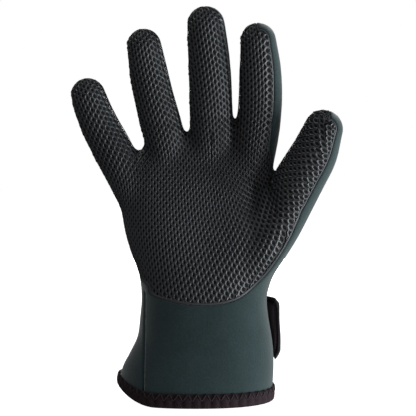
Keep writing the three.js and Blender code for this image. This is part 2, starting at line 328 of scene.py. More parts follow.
@dataclass
class Surface:
    """A triangle mesh with named values at its points, in millimetres."""

    points: np.ndarray
    triangles: np.ndarray
    layers: dict[str, np.ndarray] = field(default_factory=dict)

    def edges(self) -> np.ndarray:
        """Every edge once, as sorted pairs of points."""
        t = self.triangles
        pairs = np.sort(np.vstack([t[:, [0, 1]], t[:, [1, 2]], t[:, [2, 0]]]), axis=1)
        return np.unique(pairs, axis=0)

    def normals(self) -> np.ndarray:
        """Smooth outward normals at the points."""
        p, t = self.points, self.triangles
        return unit(self.at_points(np.cross(p[t[:, 1]] - p[t[:, 0]], p[t[:, 2]] - p[t[:, 0]])))

    def at_points(self, vectors: np.ndarray) -> np.ndarray:
        """Sums the triangles' vectors at each point."""
        total = np.zeros((len(self.points), 3))
        for corner in range(3):
            for axis in range(3):
                total[:, axis] += np.bincount(self.triangles[:, corner], vectors[:, axis], len(self.points))
        return total

    def _neighbours(self) -> tuple[np.ndarray, np.ndarray, np.ndarray]:
        """Points with each of their neighbours, and how many neighbours a point has."""
        edges = self.edges()
        ends = np.concatenate([edges[:, 0], edges[:, 1]])
        others = np.concatenate([edges[:, 1], edges[:, 0]])
        return ends, others, np.maximum(np.bincount(ends, minlength=len(self.points)), 1)

    def spread(self, values: np.ndarray, rounds: int) -> np.ndarray:
        """Evens out values at the points over their neighbours.

        Args:
            values: One number or vector for each point.
            rounds: How many times each point takes its neighbours' mean.

        Returns:
            The evened values.
        """
        ends, others, count = self._neighbours()
        values = values.reshape(len(values), -1).astype(float)
        for _ in range(rounds):
            for column in range(values.shape[1]):
                near = np.bincount(ends, values[others, column], len(self.points)) / count
                values[:, column] = (values[:, column] + near) / 2
        return values

    def smooth(self, weight: np.ndarray, rounds: int) -> None:
        """Relaxes the points towards their neighbours' mean.

        Args:
            weight: How strongly each point moves, from 0 to 1.
            rounds: How many times the points move.
        """
        ends, others, count = self._neighbours()
        for _ in range(rounds):
            near = np.stack(
                [np.bincount(ends, self.points[others, k], len(self.points)) for k in range(3)], 1
            )
            self.points += (near / count[:, None] - self.points) * (0.5 * weight)[:, None]

    def gradient(self, values: np.ndarray) -> np.ndarray:
        """How values change over the surface.

        Args:
            values: One number for each point.

        Returns:
            A vector per millimetre at each point.
        """
        p, t = self.points, self.triangles
        a, b = p[t[:, 1]] - p[t[:, 0]], p[t[:, 2]] - p[t[:, 0]]
        va, vb = values[t[:, 1]] - values[t[:, 0]], values[t[:, 2]] - values[t[:, 0]]
        aa, ab, bb = (a * a).sum(1), (a * b).sum(1), (b * b).sum(1)
        det = np.maximum(aa * bb - ab * ab, 1e-9)
        run = a * ((bb * va - ab * vb) / det)[:, None] + b * ((aa * vb - ab * va) / det)[:, None]
        share = np.bincount(t.ravel(), minlength=len(p))
        return self.at_points(run) / np.maximum(share, 1)[:, None]

    def as_distance(self, values: np.ndarray) -> np.ndarray:
        """Turns a field that is zero on a line into a distance from that line."""
        least_slope = 0.05
        return values / np.maximum(np.linalg.norm(self.gradient(values), axis=1), least_slope)

    def _move_to_line(self, side: np.ndarray, reach: float) -> None:
        """Moves points that lie close to a line onto it.

        Args:
            side: The field at the points, whose zero is the line. It is changed too.
            reach: How much of an edge a point may move along.
        """
        edges = self.edges()
        crossing = edges[side[edges[:, 0]] * side[edges[:, 1]] < 0]
        t = side[crossing[:, 0]] / (side[crossing[:, 0]] - side[crossing[:, 1]])
        columns = [self.points, *self.layers.values()]
        starts = [values.copy() for values in columns]
        for near, far, part in ((0, 1, t), (1, 0, 1 - t)):
            chosen = part < reach
            point, towards = crossing[chosen, near], crossing[chosen, far]
            step = part[chosen]
            for values, start in zip(columns, starts):
                gain = step[:, None] if values.ndim > 1 else step
                values[point] = start[point] + (start[towards] - start[point]) * gain
            side[point] = 0.0

    def score(self, name: str, level: float = 0.0) -> None:
        """Adds the line where a layer has a given value to the triangles' edges.

        Args:
            name: The layer.
            level: Its value on the line.
        """
        reach = 0.22
        on_line = 1e-7
        side = self.layers[name] - level
        self._move_to_line(side, reach)
        side[np.abs(side) < on_line] = 0.0
        t = self.triangles
        signs = np.sign(side[t])
        mixed = (signs.min(1) < 0) & (signs.max(1) > 0)
        whole, cut = t[~mixed], t[mixed]
        signs = signs[mixed]
        has_zero = (signs == 0).any(1)
        lone = np.where(
            has_zero,
            np.argmax(signs == 0, axis=1),
            np.argmax(signs == -np.sign(signs.sum(1))[:, None], axis=1),
        )
        rows = np.arange(len(cut))
        a = cut[rows, lone]
        b = cut[rows, (lone + 1) % 3]
        c = cut[rows, (lone + 2) % 3]
        wanted = np.vstack([
            np.sort(np.stack([b, c], 1), 1)[has_zero],
            np.sort(np.stack([a, b], 1), 1)[~has_zero],
            np.sort(np.stack([a, c], 1), 1)[~has_zero],
        ])
        if not len(wanted):
            return
        pairs, where = np.unique(wanted, axis=0, return_inverse=True)
        where = where.reshape(-1) + len(self.points)
        first, second = pairs[:, 0], pairs[:, 1]
        part = side[first] / (side[first] - side[second])

        def between(values: np.ndarray) -> np.ndarray:
            """Values with those of the new points added."""
            gain = part[:, None] if values.ndim > 1 else part
            return np.concatenate([values, values[first] + (values[second] - values[first]) * gain])

        self.points = between(self.points)
        self.layers = {key: between(values) for key, values in self.layers.items()}
        zeros = int(has_zero.sum())
        lones = int((~has_zero).sum())
        middle = where[:zeros]
        on_ab = where[zeros:zeros + lones]
        on_ac = where[zeros + lones:]
        az, bz, cz = a[has_zero], b[has_zero], c[has_zero]
        al, bl, cl = a[~has_zero], b[~has_zero], c[~has_zero]
        self.triangles = np.vstack([
            whole,
            np.stack([az, bz, middle], 1),
            np.stack([az, middle, cz], 1),
            np.stack([al, on_ab, on_ac], 1),
            np.stack([on_ab, bl, cl], 1),
            np.stack([on_ab, cl, on_ac], 1),
        ])

    def below(self, name: str, level: float = 0.0) -> "Surface":
        """The part of the surface where a layer is under a value, cut clean at it.

        Args:
            name: The layer.
            level: The value at the cut.

        Returns:
            The part as a surface of its own.
        """
        layers = {key: values.copy() for key, values in self.layers.items()}
        work = Surface(self.points.copy(), self.triangles.copy(), layers)
        work.score(name, level)
        on_line = 1e-6
        side = work.layers[name] - level
        kept = (side[work.triangles] < on_line).all(1)
        return work.only(kept)

    def only(self, kept: np.ndarray) -> "Surface":
        """The chosen triangles with the points that they use."""
        triangles = self.triangles[kept]
        used, where = np.unique(triangles, return_inverse=True)
        layers = {key: values[used] for key, values in self.layers.items()}
        return Surface(self.points[used], where.reshape(-1, 3), layers)

    def largest_part(self) -> "Surface":
        """The biggest connected part, so that no loose scraps stay."""
        label = np.arange(len(self.points))
        edges = self.edges()
        while True:
            low = np.minimum(label[edges[:, 0]], label[edges[:, 1]])
            new = label.copy()
            np.minimum.at(new, edges[:, 0], low)
            np.minimum.at(new, edges[:, 1], low)
            new = new[new]
            if (new == label).all():
                break
            label = new
        values, counts = np.unique(label, return_counts=True)
        return self.only(label[self.triangles[:, 0]] == values[counts.argmax()])

    def sunk(self, depth: np.ndarray | float) -> np.ndarray:
        """The points moved inwards along the form's own normals."""
        return self.points - self.layers["normal"] * np.reshape(depth, (-1, 1))

    def as_object(self, name: str) -> bpy.types.Object:
        """The surface as a mesh object."""
        return make_object(name, self.points, self.triangles)

    def walled(self, thickness: float) -> "Surface":
        """The sheet as a closed wall.

        Args:
            thickness: The wall, measured inwards.

        Returns:
            The outer face, the inner face and the rim between them.
        """
        inner = self.sunk(thickness)
        count = len(self.points)
        t = self.triangles
        directed = np.vstack([t[:, [0, 1]], t[:, [1, 2]], t[:, [2, 0]]])
        keys = directed[:, 0].astype(np.int64) * count + directed[:, 1]
        mirrored = directed[:, 1].astype(np.int64) * count + directed[:, 0]
        rim = directed[~np.isin(keys, mirrored)]
        a, b = rim[:, 0], rim[:, 1]
        return Surface(
            np.vstack([self.points, inner]),
            np.vstack([
                t,
                t[:, ::-1] + count,
                np.stack([b, a, a + count], 1),
                np.stack([b, a + count, b + count], 1),
            ]),
        )


def loft(rings: Sequence[np.ndarray], looped: bool = False) -> tuple[np.ndarray, list[tuple[int, ...]]]:
    """A skin through rings of points, with flat ends unless it closes on itself.

    Args:
        rings: Rings of points, each with the same number of them.
        looped: Whether the last ring joins the first.

    Returns:
        The points and the faces.
    """
    sides = len(rings[0])
    faces: list[tuple[int, ...]] = []
    spans = len(rings) if looped else len(rings) - 1
    for row in range(spans):
        low, high = row * sides, ((row + 1) % len(rings)) * sides
        for side in range(sides):
            after = (side + 1) % sides
            faces.append((low + side, low + after, high + after, high + side))
    if not looped:
        last = (len(rings) - 1) * sides
        faces.append(tuple(range(sides - 1, -1, -1)))
        faces.append(tuple(range(last, last + sides)))
    return np.vstack(rings), faces


def make_object(name: str, points: np.ndarray, faces: Sequence, smooth: bool = True) -> bpy.types.Object:
    """A mesh object from points in millimetres, at the origin.

    Args:
        name: The object's name.
        points: Points in millimetres.
        faces: Faces as rows of point numbers.
        smooth: Whether its faces are shaded smooth.

    Returns:
        The new object, linked to the scene.
    """
    mesh = bpy.data.meshes.new(name)
    if isinstance(faces, np.ndarray):
        faces = faces.tolist()
    mesh.from_pydata((points * MM).tolist(), [], faces)
    mesh.validate()
    mesh.polygons.foreach_set("use_smooth", [smooth] * len(mesh.polygons))
    mesh.update()
    made = bpy.data.objects.new(name, mesh)
    bpy.context.scene.collection.objects.link(made)
    return made


def read_surface(source: bpy.types.Object) -> Surface:
    """The evaluated mesh of an object as triangles, in millimetres."""
    shown = source.evaluated_get(bpy.context.evaluated_depsgraph_get())
    mesh = shown.to_mesh()
    points = np.empty(len(mesh.vertices) * 3)
    mesh.vertices.foreach_get("co", points)
    mesh.calc_loop_triangles()
    triangles = np.empty(len(mesh.loop_triangles) * 3, dtype=np.int32)
    mesh.loop_triangles.foreach_get("vertices", triangles)
    shown.to_mesh_clear()
    return Surface(points.reshape(-1, 3) / MM, triangles.reshape(-1, 3).astype(np.int64))


def mark(piece: bpy.types.Object, name: str, values: np.ndarray) -> None:
    """Keeps a number for each point in a mesh's own layer."""
    piece.data.attributes.new(name, "FLOAT", "POINT").data.foreach_set("value", values)


def discard(*objects: bpy.types.Object) -> None:
    """Removes helper objects and their meshes."""
    for item in objects:
        mesh = item.data
        bpy.data.objects.remove(item)
        if mesh is not None and mesh.users == 0:
            bpy.data.meshes.remove(mesh)


class CentreLine:
    """A digit's centre line as fine samples, with a frame at each."""

    def __init__(self, stations: Sequence[Station], step: float = 0.5) -> None:
        """Samples the line through a digit's stations.

        Args:
            stations: The digit's stations from root to tip centre.
            step: Distance between samples.
        """
        table = np.array([[s.x, s.y, s.z, s.half_width, s.half_depth] for s in stations])
        legs = np.linalg.norm(np.diff(table[:, :3], axis=0), axis=1)
        keys = np.concatenate([[0], np.cumsum(legs)])
        self.along = np.arange(0, keys[-1] + step / 2, step)
        fine = np.stack([hermite(keys, table[:, k], self.along) for k in range(5)], 1)
        self.centre, self.half_width, self.half_depth = fine[:, :3], fine[:, 3], fine[:, 4]
        self.tangent = unit(np.gradient(self.centre, axis=0))
        self.across = unit(np.cross([0.0, 1.0, 0.0], self.tangent))
        self.depth = np.cross(self.tangent, self.across)

    def rings(self, sides: int, stride: int, tip_rings: int) -> list[np.ndarray]:
        """Rings of points along the digit, closing in a round tip but for a small flat end.

        Args:
            sides: Points in a ring.
            stride: Samples from one ring to the next.
            tip_rings: Rings in the tip.

        Returns:
            The rings from root to tip.
        """
        angle = np.linspace(0, 2 * math.pi, sides, endpoint=False)[:, None]

        def ring(index: int, centre: np.ndarray, width: float, depth: float) -> np.ndarray:
            """One ring about a centre."""
            return (
                centre
                + self.across[index] * (width * np.cos(angle))
                + self.depth[index] * (depth * np.sin(angle))
            )

        made = [
            ring(i, self.centre[i], self.half_width[i], self.half_depth[i])
            for i in range(0, len(self.along) - stride // 2, stride)
        ]
        end = len(self.along) - 1
        reach, deep = self.half_width[end], self.half_depth[end]
        open_share = 0.4
        for i in range(tip_rings):
            rise = (math.pi / 2) * i / (tip_rings - open_share)
            centre = self.centre[end] + self.tangent[end] * (reach * math.sin(rise))
            made.append(ring(end, centre, reach * math.cos(rise), deep * math.cos(rise)))
        return made

    def nearest(self, points: np.ndarray, flat: bool = False) -> dict[str, np.ndarray]:
        """Places points beside the centre line.

        Args:
            points: Points in millimetres.
            flat: Whether depth is left out, as in the front view.

        Returns:
            The sample's number and the offsets along, across and in depth.
        """
        axes = [0, 2] if flat else [0, 1, 2]
        batch = 20000
        best = np.zeros(len(points), dtype=int)
        for start in range(0, len(points), batch):
            part = points[start:start + batch][:, None, axes]
            away = ((part - self.centre[None, :, axes]) ** 2).sum(2)
            best[start:start + batch] = away.argmin(1)
        offset = points - self.centre[best]
        return {
            "sample": best,
            "along": self.along[best] + (offset * self.tangent[best]).sum(1),
            "across": (offset * self.across[best]).sum(1),
            "depth": (offset * self.depth[best]).sum(1),
        }


@dataclass
class GloveForm:
    """The glove's filled form, before it is divided into sheets.

    squareness is the power of the hand's section, 2 for an ellipse. The corner fields
    lift the hem at the little-finger side, up to rise_height. The joined skins are
    relaxed by even_weight all over, and then most within join_reach of where they meet.
    """

    squareness: float = 2.35
    corner_rise: float = 11.3
    corner_start: float = -24.0
    corner_reach: float = 26.0
    rise_height: float = 50.0
    hand_sides: int = 120
    hand_step: float = 2.35
    hem_drop: float = 8.0
    digit_sides: int = 40
    digit_stride: int = 5
    tip_rings: int = 7
    voxel: float = 1.2
    even_weight: float = 0.5
    even_rounds: int = 4
    join_least: float = 0.06
    join_reach: float = 4.5
    join_rounds: int = 34
    facing_from: float = 0.1
    facing_full: float = 0.8

    def __post_init__(self) -> None:
        """Reads the tables into arrays and samples the digits' centre lines."""
        self.heights = np.array([row.z for row in HAND_ROWS], float)
        self.columns = {
            name: np.array([getattr(row, name) for row in HAND_ROWS], float)
            for name in ("left", "right", "front", "back")
        }
        self.lines = {name: CentreLine(stations) for name, stations in DIGITS.items()}

    def corner_lift(self, x: np.ndarray, z: np.ndarray) -> np.ndarray:
        """How far the hem lifts at the little-finger corner of the cuff."""
        outwards = np.clip((self.corner_start - x) / self.corner_reach, 0, 1)
        return self.corner_rise * outwards**2 * np.clip(1 - z / self.rise_height, 0, 1)

    def section(self, z: np.ndarray, inset: np.ndarray | float = 0.0) -> tuple[np.ndarray, ...]:
        """The hand's section at a height.

        Args:
            z: Heights.
            inset: How far inside the form the section lies.

        Returns:
            Its middle and half width in x, and its front and back in y.
        """
        heights = np.asarray(z, float)
        read = {name: hermite(self.heights, values, heights) for name, values in self.columns.items()}
        left, right = read["left"] + inset, read["right"] - inset
        return (left + right) / 2, (right - left) / 2, read["front"] + inset, read["back"] - inset

    def hand_point(self, angle: np.ndarray, z: np.ndarray, out: np.ndarray | float = 0.0) -> np.ndarray:
        """Points round the hand.

        Args:
            angle: Angles in radians: 0 is the thumb side and a quarter turn the back.
            z: Heights, before the hem's lift.
            out: How far outside the form the points lie.

        Returns:
            The points.
        """
        middle, half_width, front, back = self.section(z, -np.asarray(out, float))
        power = 2 / self.squareness
        across, deep = np.cos(angle), np.sin(angle)
        x = middle + half_width * np.sign(across) * np.abs(across) ** power
        depth = np.where(deep < 0, -front, back)
        y = depth * np.sign(deep) * np.abs(deep) ** power
        return np.stack(np.broadcast_arrays(x, y, z + self.corner_lift(x, z)), -1)

    def _loft_object(self) -> bpy.types.Object:
        """Hand and digits as overlapping closed skins in one object."""
        angle = np.linspace(0, 2 * math.pi, self.hand_sides, endpoint=False)
        heights = np.arange(self.heights[0], self.heights[-1] + 0.1, self.hand_step)
        rings = [self.hand_point(angle, np.full_like(angle, z)) for z in heights]
        rings.insert(0, rings[0] - np.array([0, 0, self.hem_drop]))
        parts = [loft(rings)]
        for line in self.lines.values():
            parts.append(loft(line.rings(self.digit_sides, self.digit_stride, self.tip_rings)))
        points, faces = [], []
        for part_points, part_faces in parts:
            start = sum(len(p) for p in points)
            points.append(part_points)
            faces += [tuple(start + corner for corner in face) for face in part_faces]
        return make_object("form", np.vstack(points), faces)

    def _junction_weight(self, points: np.ndarray) -> np.ndarray:
        """How strongly each point is relaxed: 1 where two of the joined forms meet.

        Args:
            points: Points of the joined form.

        Returns:
            A weight for each point, which falls to a little away from the joins.
        """
        away = []
        for line in self.lines.values():
            near = line.nearest(points)
            width = line.half_width[near["sample"]]
            depth = line.half_depth[near["sample"]]
            reach = np.hypot(near["across"] / width, near["depth"] / depth)
            past_root = np.maximum(0, -near["along"])
            away.append(np.abs((reach - 1) * (width + depth) / 2) + past_root)
        middle, half_width, front, back = self.section(points[:, 2])
        depth = np.where(points[:, 1] < 0, -front, back)
        across = np.abs((points[:, 0] - middle) / half_width) ** self.squareness
        deep = np.abs(points[:, 1] / depth) ** self.squareness
        past_top = np.maximum(0, points[:, 2] - self.heights[-1])
        away.append(np.abs(((across + deep) ** (1 / self.squareness) - 1) * depth) + past_top)
        second = np.sort(np.stack(away, 1), axis=1)[:, 1]
        near_join = np.exp(-((second / self.join_reach) ** 2))
        return self.join_least + (1 - self.join_least) * near_join

    def surface(self) -> Surface:
        """The joined and relaxed outer surface."""
        skin = self._loft_object()
        remesh = skin.modifiers.new("join", "REMESH")
        remesh.mode = "VOXEL"
        remesh.voxel_size = self.voxel * MM
        joined = read_surface(skin)
        discard(skin)
        joined.smooth(np.full(len(joined.points), self.even_weight), self.even_rounds)
        joined.smooth(self._junction_weight(joined.points), self.join_rounds)
        self._dent(joined)
        return joined

    def _dent(self, skin: Surface) -> None:
        """Presses the palm side in where the worn hand's hollows and joints draw it in."""
        normals = skin.normals()
        facing = smoothstep(self.facing_from, self.facing_full, -normals[:, 1])
        for dent in DENTS:
            across = (skin.points[:, 0] - dent.x) / dent.width
            up = (skin.points[:, 2] - dent.z) / dent.height
            skin.points += normals * (-dent.depth * facing * np.exp(-(across**2) - up**2))[:, None]


@dataclass
class SheetLines:
    """Where the glove's sheets are cut, as fields that are zero on each line."""

    form: GloveForm
    seam_spread: float = 1.15
    hand_weight: float = 0.05
    digit_falloff: int = 6
    past_edge: float = 0.6
    edge_samples: int = 400

    def seam_depth(self, points: np.ndarray) -> np.ndarray:
        """Depth of the cut between the palm sheet and the back sheet.

        Args:
            points: Points of the form.

        Returns:
            The cut's y beside each point. The hand's straight cut and each digit's own
            are blended by how near the digit is.
        """
        keys = np.array([row.z for row in HAND_SEAM], float)
        read = {
            name: np.interp(points[:, 2], keys, [getattr(row, name) for row in HAND_SEAM])
            for name in ("left_x", "left_y", "right_x", "right_y")
        }
        part = (points[:, 0] - read["left_x"]) / (read["right_x"] - read["left_x"])
        weight = np.full(len(points), self.hand_weight)
        total = weight * (read["left_y"] + (read["right_y"] - read["left_y"]) * part)
        for name, seam in DIGIT_SEAMS.items():
            line = CentreLine(DIGITS[name][seam.first:])
            near = line.nearest(points, flat=True)
            at = near["sample"]
            width, depth, middle = line.half_width[at], line.half_depth[at], line.centre[at, 1]
            offset = points[:, [0, 2]] - line.centre[at][:, [0, 2]]
            across = line.across[at][:, [0, 2]]
            side = np.sign((offset * across).sum(1))
            distance = np.linalg.norm(offset, axis=1)
            forward = smoothstep(seam.closed, seam.open, line.centre[at, 2])
            right_width = 1 + (seam.right_width - 1) * forward
            share = (side * distance + width) / (width * (1 + right_width))
            left = middle + seam.left_y
            right = middle + depth * seam.right_depth * forward
            pull = 1 / (1 + (distance / (self.seam_spread * width)) ** self.digit_falloff)
            share = np.clip(share, -self.past_edge, 1 + self.past_edge)
            total += pull * (left + (right - left) * share)
            weight += pull
        return total / weight

    def palm_edge(self, points: np.ndarray) -> np.ndarray:
        """Distance past the palm sheet's lower and thumb-side edge in the front view.

        Args:
            points: Points of the form.

        Returns:
            The distance of each point, negative on the palm's side.
        """
        outline = np.array(PALM_EDGE, float)
        keys = np.arange(len(outline), dtype=float)
        fine = np.linspace(0, len(outline) - 1, self.edge_samples)
        curve = np.stack([hermite(keys, outline[:, k], fine) for k in range(2)], 1)
        tangent = unit(np.gradient(curve, axis=0))
        offset = points[:, None, [0, 2]] - curve[None]
        nearest = (offset**2).sum(2).argmin(1)
        rows = np.arange(len(points))
        away = offset[rows, nearest]
        line = tangent[nearest]
        return -(line[:, 0] * away[:, 1] - line[:, 1] * away[:, 0])

    def hem(self, points: np.ndarray) -> np.ndarray:
        """Height below the sheets' lower edge, negative above it."""
        low = self.form.heights[0]
        lift = self.form.corner_lift(points[:, 0], np.full(len(points), low))
        return low + lift - points[:, 2]


@dataclass
class NetMap:
    """Directions of the embossed net: u counts across its columns and v along them.

    lean, lean_right, lean_down and bow lean the columns over the palm, about the
    heights level and top, and row_lean leans the rows. The side fields carry the net
    round the hand's sides. The net's shift is evened out in a number of rounds, by
    even_full inside the sheet's edge in full.
    """

    form: GloveForm
    lean: float = 0.10
    lean_right: float = 0.0032
    lean_down: float = 0.0022
    bow: float = 0.00012
    level: float = 110.0
    top: float = 130.0
    row_lean: float = 0.12
    side_depth: float = 0.77
    side_soft: float = 3.0
    side_gain: float = 0.6
    side_from: float = 0.68
    side_full: float = 0.9
    anchor_depth: float = 0.8
    digit_reach: float = 1.05
    digit_falloff: int = 6
    even_from: float = 0.5
    even_full: float = 6.0
    rounds: int = 240

    def _hand(self, points: np.ndarray) -> np.ndarray:
        """The net's coordinates on the flat of the hand.

        The columns lean to the right on their way down, more so low on the palm and
        towards the thumb, and the rows keep nearly square to them. Round the hand's
        sides, where x stands still, the columns are counted by depth.
        """
        x, y, z = points.T
        thumbwards = np.maximum(x, 0)
        middle, half_width, front, _ = self.form.section(z)
        beside = smoothstep(self.side_from, self.side_full, np.abs(x - middle) / half_width)
        back = np.maximum(0, y - front * self.side_depth)
        wrap = self.side_gain * beside * back**2 / (back + self.side_soft)
        rise = z - self.top
        fall = self.level * rise - (z**2 - self.top**2) / 2
        lean = self.lean + self.lean_right * x + self.bow * thumbwards**2 / 2
        u = x + wrap * np.sign(x - middle) + lean * rise + self.lean_down * fall
        v = z - self.row_lean * x - self.lean_right * x**2 / 2 - self.bow * thumbwards**3 / 6
        return np.stack([u, v], 1)

    def _around(self, name: str, points: np.ndarray) -> tuple[np.ndarray, dict[str, np.ndarray]]:
        """A digit's own coordinates, round its fingertip too.

        Args:
            name: The digit.
            points: Points near its surface.

        Returns:
            The coordinates and what the centre line says of each point.
        """
        line, plan = self.form.lines[name], DIGIT_NETS[name]
        near = line.nearest(points)
        at = near["sample"]
        width, depth = line.half_width[at], line.half_depth[at]
        past = np.maximum(near["along"] - line.along[-1], 0)
        across, forward = near["across"] / width, -near["depth"] / depth
        tip = past / width
        length = np.maximum(np.sqrt(across**2 + forward**2 + tip**2), 1e-6)
        angle = np.arccos(np.clip(forward / length, -1, 1))
        flat = np.maximum(np.hypot(across, tip), 1e-6)
        radius = (width + depth) / 2
        around = radius * angle * across / flat / plan.stretch
        along = near["along"] - past + radius * angle * tip / flat
        lean = math.radians(plan.turn)
        u = (around * math.cos(lean) + along * math.sin(lean)) / plan.pitch
        v = (along * math.cos(lean) - around * math.sin(lean)) / plan.pitch
        return np.stack([u, v], 1), near

    def _digit(self, name: str, points: np.ndarray) -> tuple[np.ndarray, np.ndarray, np.ndarray]:
        """The net's coordinates on a digit.

        Args:
            name: The digit.
            points: Points of the palm sheet.

        Returns:
            The coordinates, how far each point is past the digit's root, from 0 to 1,
            and how near the digit is.
        """
        line, plan = self.form.lines[name], DIGIT_NETS[name]
        own, near = self._around(name, points)
        x, z = plan.anchor
        front = self.form.section(np.array([z]))[2][0]
        anchor = np.array([[x, front * self.anchor_depth, z]])
        origin = self._hand(anchor)[0] - self._around(name, anchor)[0][0]
        distance = np.hypot(near["across"], near["depth"])
        width = self.digit_reach * line.half_width[near["sample"]]
        nearness = 1 / (1 + (distance / width) ** self.digit_falloff)
        amount = smoothstep(plan.start, plan.full, near["along"])
        return origin + own, amount, nearness

    def coordinates(self, sheet: Surface, edge: np.ndarray) -> np.ndarray:
        """The net's coordinates at the points of the palm sheet.

        Args:
            sheet: The palm's surface.
            edge: Distance of each point from the sheet's edge, negative inside.

        Returns:
            A pair for each point. Their shift from the front view's own x and z is
            evened out over the sheet, most of all away from its edge.
        """
        hand = self._hand(sheet.points)
        found = [self._digit(name, sheet.points) for name in DIGITS]
        total = sum(nearness for _, _, nearness in found)
        result = hand.copy()
        for place, amount, nearness in found:
            share = (amount * nearness / total)[:, None]
            result += share * (place - hand)
        flat = sheet.points[:, [0, 2]]
        evened = flat + sheet.spread(result - flat, self.rounds)
        return result + (evened - result) * smoothstep(self.even_from, self.even_full, -edge)[:, None]


@dataclass(frozen=True)
class Shade:
    """A colour with its darker and lighter variant, in linear light."""

    dark: tuple[float, float, float]
    light: tuple[float, float, float]


# The pits' floor is the rubber darkened further, as painted shade in the recesses.
PIT_BLACK_PAINTED_SHADE = Shade((0.006, 0.006, 0.007), (0.012, 0.012, 0.014))
# The net's rubber runs from painted shade at its feet to a painted highlight on its crests.
NET_SHADE_TO_HIGHLIGHT = Shade((0.009, 0.010, 0.012), (0.063, 0.069, 0.078))
EDGE_BLACK = Shade((0.032, 0.035, 0.039), (0.052, 0.056, 0.063))
JERSEY_GREEN = Shade((0.012, 0.029, 0.031), (0.027, 0.052, 0.057))
# The tape's colour is further darkened by a painted shadow along its top edge and painted shade in its
# needle holes.
TAPE_BROWN = Shade((0.010, 0.005, 0.007), (0.037, 0.021, 0.028))
THREAD_BROWN = Shade((0.014, 0.008, 0.010), (0.047, 0.028, 0.035))
STRAP_BLACK = Shade((0.009, 0.009, 0.010), (0.032, 0.029, 0.032))
PILE_BLACK = Shade((0.004, 0.004, 0.005), (0.016, 0.015, 0.017))
HOOK_PLUM = Shade((0.018, 0.007, 0.015), (0.078, 0.036, 0.058))


@dataclass
class NodeBench:
    """A material's node tree, with short calls to add and join nodes."""

    material: bpy.types.Material

    def __post_init__(self) -> None:
        """Clears the tree and adds the surface shader."""
        self.material.use_nodes = True
        self.tree = self.material.node_tree
        self.tree.nodes.clear()
        self.output = self.add("ShaderNodeOutputMaterial")
        self.shader = self.add("ShaderNodeBsdfPrincipled")
        self.join(self.shader.outputs["BSDF"], self.output.inputs["Surface"])
        self.place = self.add("ShaderNodeTexCoord").outputs["Object"]

    def add(self, kind: str, **values: object) -> bpy.types.Node:
        """Adds a node and sets its properties."""
        node = self.tree.nodes.new(kind)
        for name, value in values.items():
            setattr(node, name, value)
        return node

    def join(self, source: bpy.types.NodeSocket, target: bpy.types.NodeSocket) -> None:
        """Joins two sockets."""
        self.tree.links.new(source, target)

    def noise(self, size_mm: float, detail: float = 3.0, rough: float = 0.55) -> bpy.types.NodeSocket:
        """Noise whose lumps are about a size, read at the object's own place."""
        node = self.add("ShaderNodeTexNoise")
        node.inputs["Scale"].default_value = 1 / (size_mm * MM)
        node.inputs["Detail"].default_value = detail
        node.inputs["Roughness"].default_value = rough
        self.join(self.place, node.inputs["Vector"])
        return node.outputs["Fac"]

    def wave(self, pitch_mm: float, axis: str, bend: float) -> bpy.types.NodeSocket:
        """Straight waves of a pitch across an axis. At scale 1 the node's bands are pi / 10 apart."""
        node = self.add("ShaderNodeTexWave", wave_type="BANDS", bands_direction=axis, wave_profile="SIN")
        node.inputs["Scale"].default_value = math.pi / (10 * pitch_mm * MM)
        node.inputs["Distortion"].default_value = bend
        node.inputs["Detail Scale"].default_value = 2.0
        self.join(self.place, node.inputs["Vector"])
        return node.outputs["Fac"]

    def attribute(self, name: str) -> bpy.types.NodeSocket:
        """The number that the piece's mesh holds under a name."""
        return self.add("ShaderNodeAttribute", attribute_name=name).outputs["Fac"]

    def level(self, source: bpy.types.NodeSocket, low: float, high: float) -> bpy.types.NodeSocket:
        """Maps 0 to 1 onto a low and a high value."""
        node = self.add("ShaderNodeMapRange")
        node.inputs["To Min"].default_value = low
        node.inputs["To Max"].default_value = high
        self.join(source, node.inputs["Value"])
        return node.outputs["Result"]

    def maths(self, kind: str, first: object, second: object) -> bpy.types.NodeSocket:
        """One sum on two sockets or numbers."""
        node = self.add("ShaderNodeMath", operation=kind)
        for socket, value in zip(node.inputs, (first, second)):
            if isinstance(value, (int, float)):
                socket.default_value = value
            else:
                self.join(value, socket)
        return node.outputs[0]

    def colour(self, part: bpy.types.NodeSocket, shade: Shade) -> bpy.types.NodeSocket:
        """A colour between a shade's dark and light.

        Args:
            part: 0 for the dark colour, 1 for the light one.
            shade: The two colours.

        Returns:
            The mixed colour.
        """
        node = self.add("ShaderNodeMix", data_type="RGBA")
        inputs = {socket.identifier: socket for socket in node.inputs}
        outputs = {socket.identifier: socket for socket in node.outputs}
        inputs["A_Color"].default_value = (*shade.dark, 1)
        inputs["B_Color"].default_value = (*shade.light, 1)
        self.join(part, inputs["Factor_Float"])
        return outputs["Result_Color"]

    def bump(self, height: bpy.types.NodeSocket, depth_mm: float, strength: float = 1.0) -> None:
        """Adds a bump of a depth on top of those already there."""
        node = self.add("ShaderNodeBump")
        node.inputs["Strength"].default_value = strength
        node.inputs["Distance"].default_value = depth_mm * MM
        self.join(height, node.inputs["Height"])
        normal = self.shader.inputs["Normal"]
        if normal.is_linked:
            self.join(normal.links[0].from_socket, node.inputs["Normal"])
        self.join(node.outputs["Normal"], normal)

    def gloss(self, roughness: float, specular: float, sheen: float = 0.0) -> None:
        """Sets the shader's constant roughness, specular level and sheen."""
        self.shader.inputs["Roughness"].default_value = roughness
        self.shader.inputs["Specular IOR Level"].default_value = specular
        self.shader.inputs["Sheen Weight"].default_value = sheen
        self.shader.inputs["Sheen Roughness"].default_value = 0.45


